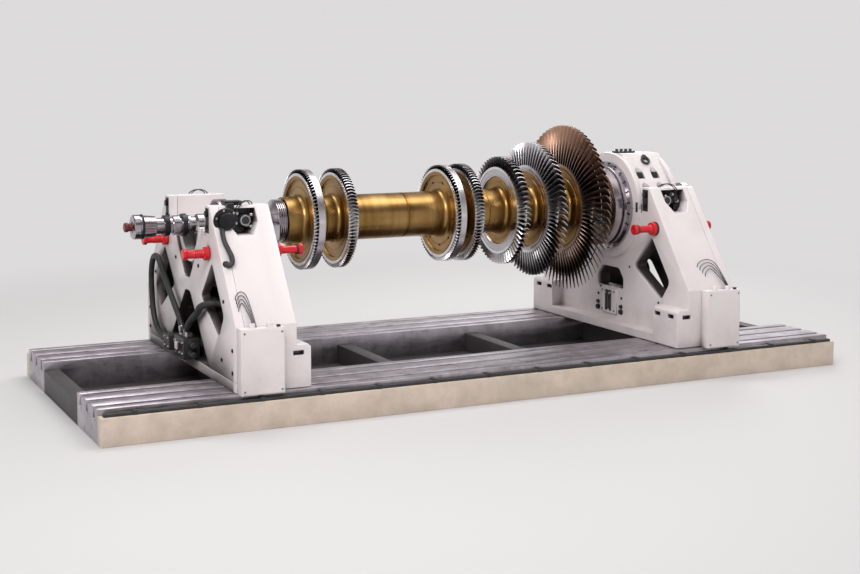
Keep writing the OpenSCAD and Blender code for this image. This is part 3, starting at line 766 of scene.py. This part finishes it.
def collar(build, x0, x1, inner, outer, edge):
    """A ring on the shaft with its outer edges broken."""
    lathe(build, [(inner, x0), (outer - edge, x0), (outer, x0 + edge), (outer, x1 - edge),
                  (outer - edge, x1), (inner, x1)], CENTRE, AXIS, 96, closed=True)


def make_shaft_collars():
    """Blackened collars and the red end cap on the free end of the shaft."""
    black, red, bright = Build(), Build(), Build()
    collar(black, -1.884, -1.872, 0.0665, 0.0715, 0.0015)
    collar(black, -1.752, -1.722, 0.0462, 0.060, 0.0015)
    collar(black, -1.648, -1.622, 0.0462, 0.0655, 0.0015)
    collar(bright, -1.614, -1.599, 0.0462, 0.055, 0.0015)
    # The end cap's dark red is painted shade
    lathe(red, [(0, -1.976), (0.022, -1.976), (0.027, -1.971), (0.027, -1.956), (0.0225, -1.951),
                (0.0225, -1.9305), (0, -1.9305)], CENTRE, AXIS, 48)
    black.make("shaft_collars", "bolt_black", ROTOR, TURNED_EDGE)
    bright.make("shaft_nut", "bolt_bright", ROTOR, TURNED_EDGE)
    red.make("shaft_end_cap", "cap_red", ROTOR, TURNED_EDGE)


def make_gland():
    start, end = JOINTS[-1], 1.118
    profile = [(BORE_R, start), (GLAND_R, start)] + fins(start + 0.012, end - 0.010)
    turned_piece("gland_sleeve", profile + [(GLAND_R, end), (BORE_R, end)], "polished_steel")


def aerofoil(chord, camber, thick, angle, count=9):
    """A blade section with a round nose and a thin tail, as points round its outline."""
    spread = [(1 - math.cos(math.pi * k / (count - 1))) / 2 for k in range(count)]
    points = [(t, 1) for t in spread] + [(t, -1) for t in reversed(spread[1:-1])]
    ca, sa = math.cos(angle), math.sin(angle)
    outline = []
    for t, sign in points:
        full = 2.6 * (math.sqrt(max(t, 0)) * 0.94 - 0.52 * t - 0.42 * t ** 2.4)
        u = (t - 0.5) * chord
        v = camber * 4 * t * (1 - t) + sign * thick / 2 * max(full, 0.0)
        outline.append((u * ca + v * sa, v * ca - u * sa))
    return outline


def blend_values(table, t):
    """Values between the rows of a table whose first column is the place along the blade."""
    for a, b in zip(table, table[1:]):
        if t <= b[0]:
            s = (t - a[0]) / (b[0] - a[0])
            return [p + (q - p) * s for p, q in zip(a[1:], b[1:])]
    return list(table[-1][1:])


def blade_shell(build, middle, sections, root, tip, turn, steps):
    """One blade lofted through its sections, at the angle turn round the rotor."""
    ca, sa = math.cos(turn), math.sin(turn)
    verts = []
    for i in range(steps + 1):
        radius = root + (tip - root) * i / steps
        chord, camber, thick, angle = blend_values(sections, i / steps)
        outline = aerofoil(chord, camber, thick, math.radians(angle))
        for x, y in outline:
            verts.append(Vector((middle + x, y * ca - radius * sa, AXIS_Z + y * sa + radius * ca)))
    build.add(verts, skin(steps + 1, len(outline)))


def turned_box(build, x0, x1, r0, r1, turn, half, slant=0.0):
    """A block between two radii that spans a small angle; slant shifts its two ends round."""
    verts = []
    for x, shift in ((x0, -slant), (x1, slant)):
        for r in (r0, r1):
            for s in (-1, 1):
                verts.append(round_axis(x, r, turn + s * half + shift))
    build.add(verts, BOX_FACES)


def root_ring(build, n, count, top, joint_width):
    """The ring of blade roots: one slanted block for each blade, with a joint between them."""
    base = ROW_RIM[n] + FIT
    x0, x1 = ROW_X[n], ROW_X[n] + ROW_W[n]
    lathe(build, [(base, x0 + 0.001), (top - 0.002, x0 + 0.001), (top - 0.002, x1 - 0.001),
                  (base, x1 - 0.001)], CENTRE, AXIS, TURN_SIDES, closed=True)
    step = TURN / count
    half = step / 2 - joint_width / 2 / top
    for i in range(count):
        turned_box(build, x0, x1, base + 0.001, top, i * step, half, -0.10 * step)


# Long rows: blades, tip radius, steps along a blade, and its sections from root to tip, each with
# its place along the blade, chord, camber, thickness and turn in degrees
LONG_ROWS = {
    4: (64, 0.340, 5, [(0, 0.0612, 0.014, 0.0085, 6), (0.5, 0.0612, 0.0145, 0.0075, 8),
                       (1, 0.0600, 0.014, 0.006, 11)]),
    5: (70, 0.426, 10, [(0, 0.072, 0.011, 0.0105, 12), (0.5, 0.066, 0.0085, 0.0075, 26),
                        (1, 0.060, 0.004, 0.005, 40)]),
    6: (72, 0.530, 14, [(0, 0.080, 0.014, 0.0125, 9), (0.33, 0.076, 0.0095, 0.0095, 28),
                        (0.66, 0.070, 0.006, 0.0065, 46), (1, 0.062, 0.0035, 0.004, 58)]),
}


def make_row(n):
    if n in LONG_ROWS:
        blades, tip, steps, sections = LONG_ROWS[n]
        joint_width, edge = 0.0012, 40
    else:
        blades, tip, steps = BLADES_SHORT, TIP_R[n] - 0.0005, 2
        chord = ROW_W[n] * 0.9
        sections = [(0, chord, 0.012, 0.0066, 8), (1, chord, 0.012, 0.0054, 8)]
        joint_width, edge = 0.0035, 34
    root = ROW_RIM[n] + RING_DEEP
    build = Build()
    root_ring(build, n, blades, root, joint_width)
    for i in range(blades):
        blade_shell(build, row_middle(n), sections, root - 0.003, tip, TURN / blades * i, steps)
    material = "brown_blades" if n == 6 else "blade_steel"
    made = build.make("blade_row_%d" % (n + 1), material, ROTOR, edge)
    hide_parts("blades_%d" % (n + 1))


def make_shroud(n, segments=12):
    """The band round the tips of a short row, in segments with their outer edges broken."""
    x0, x1, tip = ROW_X[n] + SHROUD_BACK, ROW_X[n] + ROW_W[n], TIP_R[n]
    edge, depth, gap = 0.0015, 0.007, 0.0005 / tip
    section = [(tip - depth, x0), (tip - edge, x0), (tip, x0 + edge), (tip, x1 - edge),
               (tip - edge, x1), (tip - depth, x1)]
    per = BLADES_SHORT // segments
    cuts, step = per * 2, TURN / BLADES_SHORT
    build = Build()
    for b in range(segments):
        first = (b * per - 0.5) * step
        start, end = first + gap, first + per * step - gap
        verts = []
        for k in range(cuts + 1):
            verts += [round_axis(x, r, start + (end - start) * k / cuts) for r, x in section]
        build.add(verts, skin(cuts + 1, len(section)))
    build.make("shroud_band_%d" % (n + 1), "blade_steel", ROTOR, 34)


def make_wire():
    """The lacing wire through the last row, in eight segments."""
    build = Build()
    root = ROW_RIM[6] + RING_DEEP
    radius = root + (LONG_ROWS[6][1] - root) * 0.66
    for s in range(8):
        line = []
        for k in range(25):
            line.append(round_axis(row_middle(6), radius, TURN * (s + 0.02 + 0.96 * k / 24) / 8))
        tube(build, line, 0.0026, 8)
    build.make("lacing_wire", "blade_steel", ROTOR)


def make_balance_marks():
    """Balance holes in the third and fourth discs, drawn as dark plugs that are painted shade, and
    weights in the sixth's groove.
    """
    dark, bright = Build(), Build()
    rim_r, web_r, groove = 0.2535, 0.198, ROW_X[5] + 0.002
    for n, sign in ((2, -1), (3, 1)):
        x = row_middle(n) + sign * (disc_half(n) - 0.002)
        for k in range(24):
            rod(dark, round_axis(x, rim_r, TURN * (k + 0.5) / 24), (sign, 0, 0), 0.0028, 0.0022, 12)
    for n in (2, 3):
        x = row_middle(n) - disc_half(n) * 0.54 - 0.003
        for k in range(9):
            rod(dark, round_axis(x, web_r, TURN * (k + 0.4) / 9), AXIS, 0.0065, 0.006, 16)
    for k in (3, 4, 5, 11, 12, 19):
        turned_box(bright, groove - 0.001, groove + 0.003, 0.2503, rim_r, TURN * k / 24, 0.05)
    dark.make("balance_holes", "recess_dark", ROTOR)
    bright.make("balance_weights", "blade_steel", ROTOR)


def make_rotor():
    make_shaft()
    make_shaft_collars()
    make_gland()
    make_drum()
    for n in range(7):
        make_disc(n)
    for n in range(7):
        make_row(n)
        if n in SHROUDED:
            make_shroud(n)
    make_wire()
    make_balance_marks()


# Pedestals. Places are (distance from the inner face, across, above the bed) on either pedestal.

ROOT = "pedestals"
UP = (0, 0, 1)


def at(side, u, y, z):
    return Vector((SIDES[side] * (PED_X + u), y, BED_TOP + z))


def facing(side, u):
    return Vector((SIDES[side] * u, 0, 0))


def slope_y(z):
    return PED_HALF - (max(z, SHOULDER) - SHOULDER) * SLOPE


def make_castings(side):
    rounded = [("frame", 0.005, "white_paint", 3), ("outer_plate", 0.004, "white_paint", 2),
               ("bearing_carrier", 0.004, "white_paint", 2), ("junction_box", 0.003, "white_paint", 2),
               ("end_clamps", 0.0025, "black_steel", 2), ("hydraulic_block", 0.003, "black_steel", 2),
               ("stiffness_unit", 0.003, "machine_steel", 2)]
    if side == "right":
        rounded += [("bearing_cap", 0.005, "white_paint", 3), ("cap_fittings", 0.0015, "black_steel", 2)]
    for name, width, material, steps in rounded:
        softened(side + "_" + name, width, material, steps)


def make_bolts(side):
    bright, black, dark = Build(), Build(), Build()
    inward, outward = facing(side, -1), facing(side, 1)
    for u, radius, count, size, height in ((ARCH_FRONT - 0.018, 0.279, 24, 0.0055, 0.006),
                                           (ARCH_FRONT - 0.108, 0.234, 12, 0.006, 0.007)):
        for y, z in around(radius, count):
            if z < 0 or side == "right":
                socket_bolt(black, dark, at(side, u, y, AXIS_UP + z), inward, size, height)
    for s in (-1, 1):
        for z in (0.112, 0.24):
            socket_bolt(bright, dark, at(side, WEB - 0.014, s * 0.070, z), inward, 0.008, 0.005)
        # Painted shade: a dark block stands for the slot, with a bolt in it
        block(dark, at(side, WEB - 0.016, s * 0.013, 0.108), at(side, WEB - 0.0135, s * 0.036, 0.246),
              0.0005)
        hex_bolt(bright, at(side, WEB - 0.016, s * 0.0245, 0.228), inward, 0.014, 0.008)
        for z, flats, height in ((0.115, 0.030, 0.016), (0.150, 0.022, 0.014)):
            hex_bolt(black, at(side, WEB, s * 0.135, z), inward, flats, height)
        socket_bolt(black, dark, at(side, WEB, s * 0.135, 0.205), inward, 0.009, 0.004)
        for y, z in ((0.225, 0.425), (0.545, 0.235), (0.61, 0.085)):
            socket_bolt(black, dark, at(side, WEB, s * y, z), inward, 0.008, 0.003)
        for y, z in ((0.38, 0.92), (0.66, 0.46), (0.80, 0.22), (0.80, 0.10), (0.62, 0.14), (0.22, 0.60)):
            socket_bolt(black, dark, at(side, OUTER, s * y, z), outward, 0.010, 0.005)
        for y in (0.643, 0.780):
            socket_bolt(black, dark, at(side, 0.030, s * y, 0.177), UP, 0.013, 0.012)
        for y in (0.600, 0.838):
            hex_bolt(black, at(side, 0.026, s * y, 0.0), UP, 0.022, 0.020)
    black.make(side + "_screws_black", "bolt_black", ROOT)
    bright.make(side + "_screws_bright", "bolt_bright", ROOT)
    dark.make(side + "_screw_sockets", "recess_dark", ROOT)


def make_spools(side):
    """The dark washers behind the red spools, and the pair of spools on the outer plate."""
    seats, outer = Build(), Build()
    profile = [(0, 0.001), (0.036, 0.001), (0.038, 0.003), (0.038, 0.026), (0.026, 0.032),
               (0.023, 0.040)]
    for k in range(4):
        profile += [(0.026, 0.046 + 0.012 * k), (0.023, 0.052 + 0.012 * k)]
    profile += [(0.023, 0.120), (0.030, 0.126), (0.032, 0.129), (0.032, 0.144), (0.029, 0.148),
                (0, 0.148)]
    for s in (-1, 1):
        for u, inner, rim, width in ((WEB - 0.012, 0.0402, 0.043, 0.012),
                                     (-0.063, 0.0222, 0.029, 0.010)):
            lathe(seats, [(inner, 0), (rim, 0.001), (rim, width - 0.001), (inner, width)],
                  at(side, u, s * 0.503, 0.700), facing(side, 1), 32, closed=True)
        lathe(outer, profile, at(side, OUTER, s * 0.405, 0.690), facing(side, 1), 32)
    seats.make(side + "_spool_seats", "recess_dark", ROOT)
    outer.make(side + "_outer_spools", "red_paint", ROOT, 35)


def make_horn_slots(side):
    """Dark blocks that stand for recesses, painted shade, with a clamping bolt on the inner face of each
    horn.
    """
    dark, black = Build(), Build()
    face, sign = (WEB, -1) if side == "right" else (OUTER, 1)
    for s in (-1, 1):
        for z0, z1, y0, y1 in ((0.800, 0.937, 0.358, 0.418), (0.785, 0.842, 0.3455, 0.354)):
            block(dark, at(side, face - sign * 0.004, s * y0, z0),
                  at(side, face + sign * 0.001, s * y1, z1), 0.0005)
        for z, flats, height in ((0.905, 0.034, 0.014), (0.835, 0.024, 0.010)):
            hex_bolt(black, at(side, face, s * 0.388, z), facing(side, sign), flats, height)
        if side == "right":
            block(dark, at(side, ARCH_FRONT + 0.004, s * 0.3175, 0.790),
                  at(side, ARCH_FRONT - 0.001, s * 0.3412, 0.853), 0.0005)
    dark.make(side + "_horn_slots", "recess_dark", ROOT)
    black.make(side + "_horn_bolts", "bolt_black", ROOT)


# The feed pipes over an end window, and the bent pipe from the clamp body: its lift is measured
# from the sloped end wall
FEED_PIPE = [(0.272, 0.412, 0.900), (0.268, 0.446, 0.925), (0.240, 0.449, 0.962), (0.205, 0.436, 0.974),
             (0.178, 0.415, 0.966), (0.165, 0.404, 0.950)]
CLAMP_PIPE = [(0.372, 0.850, -0.020), (0.382, 0.825, 0.014), (0.389, 0.800, 0.030),
              (0.386, 0.768, 0.030), (0.374, 0.730, 0.027), (0.364, 0.694, 0.027),
              (0.370, 0.664, 0.027), (0.388, 0.652, 0.018), (0.400, 0.656, -0.008)]


def make_clamp_body(side, black, bright, pipe):
    """The round body over the left near window, its link blocks and its bent pipe."""
    clamp_u, clamp_z, out = 0.350, 0.874, (0, -1, 0)
    lathe(black, [(0, 0), (0.056, 0), (0.056, 0.078), (0.053, 0.081), (0.053, 0.086), (0.067, 0.089),
                  (0.069, 0.092), (0.069, 0.103), (0.066, 0.107), (0.048, 0.110), (0.046, 0.131),
                  (0.042, 0.135), (0, 0.135)], at(side, clamp_u, -0.400, clamp_z), out, 48)
    for u, z in around(0.058, 6, 0.25):
        hex_bolt(bright, at(side, clamp_u + u, -0.5066, clamp_z + z), out, 0.012, 0.007, False)
    block(black, at(side, 0.330, -0.352, 0.952), at(side, 0.230, -0.424, 0.974), 0.003)
    block(black, at(side, 0.330, -0.470, 0.905), at(side, 0.292, -0.425, 0.966), 0.003)
    line = [at(side, u, -slope_y(z) - lift, z) for u, z, lift in CLAMP_PIPE]
    tube(pipe, smooth_path(line, 8), 0.0135, 14)
    lathe(black, [(0, -0.004), (0.0195, -0.004), (0.0195, 0.004), (0.017, 0.007), (0, 0.007)],
          at(side, 0.397, -slope_y(0.655), 0.655), (0, -1, 0.7), 20)


def make_window_details(side):
    """Valve body, rods and feed pipes that fill each end window round the clamp."""
    black, bright, pipe = Build(), Build(), Build()
    for s in (-1, 1):
        out = (0, s, 0)
        block(black, at(side, 0.178, s * 0.352, 0.822), at(side, 0.322, s * 0.372, 0.925), 0.003)
        block(black, at(side, 0.270, s * 0.385, 0.800), at(side, 0.318, s * 0.432, 0.842), 0.003)
        for u, z, size in ((0.205, 0.840, 0.020), (0.262, 0.905, 0.018), (0.300, 0.862, 0.022)):
            hex_bolt(bright, at(side, u, s * 0.415, z), out, size, 0.016)
        for z in (0.832, 0.898):
            lathe(bright, [(0, 0), (0.009, 0), (0.009, 0.085), (0.006, 0.088), (0, 0.088)],
                  at(side, 0.190, s * 0.372, z), out, 16)
        lathe(bright, [(0.0225, 0), (0.030, 0.001), (0.030, 0.008), (0.0225, 0.009)],
              at(side, WINDOW_U - 0.034, s * 0.428, 0.866), out, 32, closed=True)
        for shift in (0, 0.016):
            line = [at(side, u + shift, s * y, z) for u, y, z in FEED_PIPE]
            tube(pipe, smooth_path(line, 8), 0.003, 8)
    if side == "left":
        make_clamp_body(side, black, bright, pipe)
    black.make(side + "_window_valves", "bolt_black", ROOT)
    bright.make(side + "_window_rods", "bolt_bright", ROOT)
    pipe.make(side + "_window_pipes", "black_rubber", ROOT)


# Where the thin conduits leave each junction box, from its middle, and how far they spread
BOX_CONDUITS = {"left": (-0.034, 0.55), "right": (0.058, 1.2)}


def make_box_details(side):
    front = -PED_HALF - 0.075
    build, dark, cable = Build(), Build(), Build()
    for u in (0.192, 0.398):
        for z in (0.022, 0.328):
            socket_bolt(build, dark, at(side, u, front, z), (0, -1, 0), 0.006, 0.003)
    build.make(side + "_box_screws", "bolt_bright", ROOT)
    middle = SIDES[side] * (PED_X + BOX_MIDDLE)
    start, spread = BOX_CONDUITS[side]
    for k in range(4):
        top, reach = 0.466 + 0.018 * k, 0.075 + 0.014 * k
        line = []
        for along, z, lift in ((0.0, 0.352, 0.036), (0.0, 0.385, 0.032), (-0.010, top - 0.045, 0.020),
                               (-0.030, top - 0.008, 0.014), (-reach * 0.62, top, 0.012),
                               (-reach, top - 0.018, 0.010), (-reach - 0.010, top - 0.050, -0.006)):
            x = middle + start + along * spread + 0.006 * (k - 1.5)
            line.append(Vector((x, -slope_y(z) - lift, BED_TOP + z)))
        tube(cable, smooth_path(line, 8), 0.0022, 8)
    block(dark, (middle + 0.082, front + 0.012, BED_TOP + 0.352),
          (middle + 0.100, front + 0.030, BED_TOP + 0.362), 0.001)
    dark.make(side + "_box_sockets", "recess_dark", ROOT)
    cable.make(side + "_box_conduits", "black_rubber", ROOT)


def make_block_details(side):
    """Solenoids, plugs, a connector box and a gauge on the hydraulic blocks."""
    black, bright, white = Build(), Build(), Build()
    for z in (0.085, 0.140):
        lathe(black, [(0, 0), (0.021, 0), (0.021, 0.004), (0.019, 0.006), (0.019, 0.052),
                      (0.015, 0.056), (0.008, 0.056), (0.007, 0.064), (0, 0.064)],
              at(side, 0.440, -0.130, z), (0, -1, 0), 24)
    for y, z in ((-0.10, 0.085), (-0.05, 0.085), (0.0, 0.085), (0.035, 0.145), (-0.105, 0.148)):
        hex_bolt(bright, at(side, BLOCK_FRONT, y, z), facing(side, 1), 0.016, 0.008)
    for y, z in ((0.205, 0.075), (0.275, 0.075), (0.205, 0.125), (0.275, 0.125)):
        hex_bolt(bright, at(side, 0.480, y, z), facing(side, 1), 0.013, 0.006)
    block(white, at(side, BLOCK_FRONT, -0.070, 0.105), at(side, BLOCK_FRONT + 0.022, -0.020, 0.150),
          0.003)
    block(white, at(side, 0.425, -0.112, 0.175), at(side, 0.462, -0.080, 0.207), 0.003)
    black.make(side + "_solenoids", "black_plastic", ROOT)
    bright.make(side + "_block_plugs", "bolt_bright", ROOT)
    white.make(side + "_connector_boxes", "white_paint", ROOT)


def make_unit_details(side):
    """Screws and rings on the hydraulic unit under the bearing."""
    black, dark, bright = Build(), Build(), Build()
    for y, z in around(0.062, 8):
        socket_bolt(black, dark, at(side, 0.342, y, 0.365 + z), facing(side, 1), 0.007, 0.006)
    for y in (-0.09, 0.09):
        for u in (0.24, 0.33):
            hex_bolt(bright, at(side, u, y, 0.115), UP, 0.018, 0.012)
    lathe(bright, [(0, 0), (0.034, 0), (0.034, 0.006), (0.030, 0.009), (0.012, 0.009), (0.010, 0.018),
                   (0, 0.018)], at(side, 0.342, 0, 0.365), facing(side, 1), 32)
    black.make(side + "_unit_screws", "bolt_black", ROOT)
    dark.make(side + "_unit_sockets", "recess_dark", ROOT)
    bright.make(side + "_unit_fittings", "bolt_bright", ROOT)


HOSE_LOW = [(445, -60, 175.5), (445, -60, 200), (452, -110, 245), (456, -200, 300), (452, -290, 348),
            (450, -345, 388), (418, -405, 412), (365, -460, 414), (315, -540, 396), (280, -640, 362),
            (265, -720, 338), (260, -760, 330), (260, -779.5, 330)]
HOSE_FAR = [(445, 20, 175.5), (445, 20, 205), (450, 60, 262), (456, 150, 340), (460, 270, 430),
            (462, 380, 520), (462, 470, 575), (462, 560, 560), (460, 615, 470), (458, 622, 350),
            (456, 600, 230), (452, 540, 140), (448, 440, 105), (446, 340, 100), (446, 300.5, 100)]
HOSE_R = 0.020


def hose_line(side, route, step):
    points = [at(side, u * MM, y * MM, z * MM) for u, y, z in route]
    return even_path(smooth_path(points, 10), step)


def make_hoses(side):
    ribbed, smooth, fittings = Build(), Build(), Build()
    low = hose_line(side, HOSE_LOW, 0.0032)
    tube(ribbed, low, HOSE_R, 14, lambda i: 0.985 if i % 3 == 1 else 0.88)
    far = hose_line(side, HOSE_FAR, 0.014)
    tube(smooth, far, HOSE_R * 0.86, 16)
    for line, skip in ((low, 14), (far, 4)):
        for end, following in ((line[0], line[skip]), (line[-1], line[-skip - 1])):
            away = (following - end).normalized()
            lathe(fittings, [(0, 0.0002), (0.0195, 0.0002), (0.0195, 0.012), (0.017, 0.014),
                             (0.017, 0.018), (0.0195, 0.020), (0.0195, 0.048), (0.018, 0.052),
                             (0, 0.052)], end, away, 20)
    first = ribbed.make(side + "_hose_ribbed", "black_rubber", ROOT)
    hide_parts(side + "_hoses")
    smooth.make(side + "_hose_smooth", "black_rubber", ROOT)
    fittings.make(side + "_hose_ends", "bolt_bright", ROOT)


def make_pedestals():
    for side in SIDES:
        make_castings(side)
        make_bolts(side)
        make_spools(side)
        make_horn_slots(side)
        make_window_details(side)
        make_box_details(side)
        make_block_details(side)
        make_unit_details(side)
        make_hoses(side)


def make_bed():
    softened("bed_rail_front", 0.0015, "rail_steel", 1)
    softened("bed_rail_back", 0.0015, "rail_steel", 1)
    softened("bed_side_beams", 0.003, "cream_paint")
    softened("bed_cross_beams", 0.003, "dark_steel")
    softened("cable_run", 0.002, "black_plastic")


def dress_frame():
    """Gives the CAD nodes that are kept as they are the finish that their slot names."""
    for part in frame["record"]["subparts"]:
        materials = frame["nodes"][part["node"]].data.materials
        materials.clear()
        materials.append(MATERIALS[part["material_slot"]])


# Stage: floor, background and lights

BACKGROUND = (0.72, 0.7092, 0.7092)
FADE_NEAR = 2.9
FADE_FAR = 6.4


def seen_plainly(tree):
    """1 for the rays that should meet the plain background: the camera's, and those off metal."""
    path = node(tree, "ShaderNodeLightPath")
    share = path.outputs["Is Camera Ray"]
    for name in ("Is Glossy Ray", "Is Transmission Ray"):
        share = calc(tree, "MAXIMUM", share, path.outputs[name])
    return share


def blend_shaders(tree, share, first, second, output):
    mix = node(tree, "ShaderNodeMixShader", {0: share, 1: first.outputs[0], 2: second.outputs[0]})
    tree.links.new(mix.outputs[0], output.inputs["Surface"])


def make_stage():
    """A plain floor that fades into the background's colour away from the object."""
    size = 90.0
    corners = [(-size, -size, 0), (size, -size, 0), (size, size, 0), (-size, size, 0)]
    mesh = bpy.data.meshes.new("floor")
    mesh.from_pydata(corners, [], [(0, 1, 2, 3)])
    floor = add_object("floor", mesh)
    material, tree, shader = new_material("floor_plain")
    join(tree, (0.60, 0.59, 0.59), shader.inputs["Base Color"])
    join(tree, 0.8, shader.inputs["Roughness"])
    away = vector_length(tree, node(tree, "ShaderNodeTexCoord").outputs["Object"])
    fade = level_between(tree, away, FADE_NEAR, FADE_FAR, interpolation_type="SMOOTHSTEP")
    glow = node(tree, "ShaderNodeEmission", {"Color": BACKGROUND})
    blend_shaders(tree, calc(tree, "MULTIPLY", fade, seen_plainly(tree)), shader, glow,
                  tree.nodes["Material Output"])
    mesh.materials.append(material)


def make_world():
    world = bpy.data.worlds.new("studio")
    scene.world = world
    world.use_nodes = True
    tree = world.node_tree
    tree.nodes.clear()
    light = node(tree, "ShaderNodeBackground", {"Color": (1.0, 0.985, 0.98), "Strength": 0.62})
    place = node(tree, "ShaderNodeTexCoord").outputs["Generated"]
    height = node(tree, "ShaderNodeSeparateXYZ", {0: place}).outputs["Z"]
    ceiling, opening = (0.22, 0.20, 0.20), (1.0, 0.95, 0.93)
    stops = [(0.30, BACKGROUND), (0.44, ceiling), (0.66, ceiling), (0.80, opening)]
    back = node(tree, "ShaderNodeBackground", {"Color": ramp(tree, height, stops)})
    blend_shaders(tree, seen_plainly(tree), light, back, node(tree, "ShaderNodeOutputWorld"))


def area_light(name, place, target, size, power):
    data = bpy.data.lights.new(name, "AREA")
    data.shape = "RECTANGLE"
    data.size, data.size_y = size
    data.energy = power
    lamp = add_object(name, data)
    lamp.location = place
    lamp.rotation_euler = (Vector(target) - Vector(place)).to_track_quat("-Z", "Y").to_euler()


def make_lights():
    area_light("key", (-4.0, -4.5, 5.0), (0, 0, 0.9), (4.0, 2.0), 230)
    area_light("top", (0.5, 0.5, 6.0), (0, 0, 0.5), (7.0, 2.0), 190)
    area_light("rim", (4.5, 4.0, 4.0), (0, 0, 0.9), (3.0, 2.5), 110)


make_camera()
MATERIALS = build_materials()
dress_frame()
make_bed()
make_rotor()
make_pedestals()
make_stage()
make_world()
make_lights()
scene.view_settings.view_transform = "Standard"
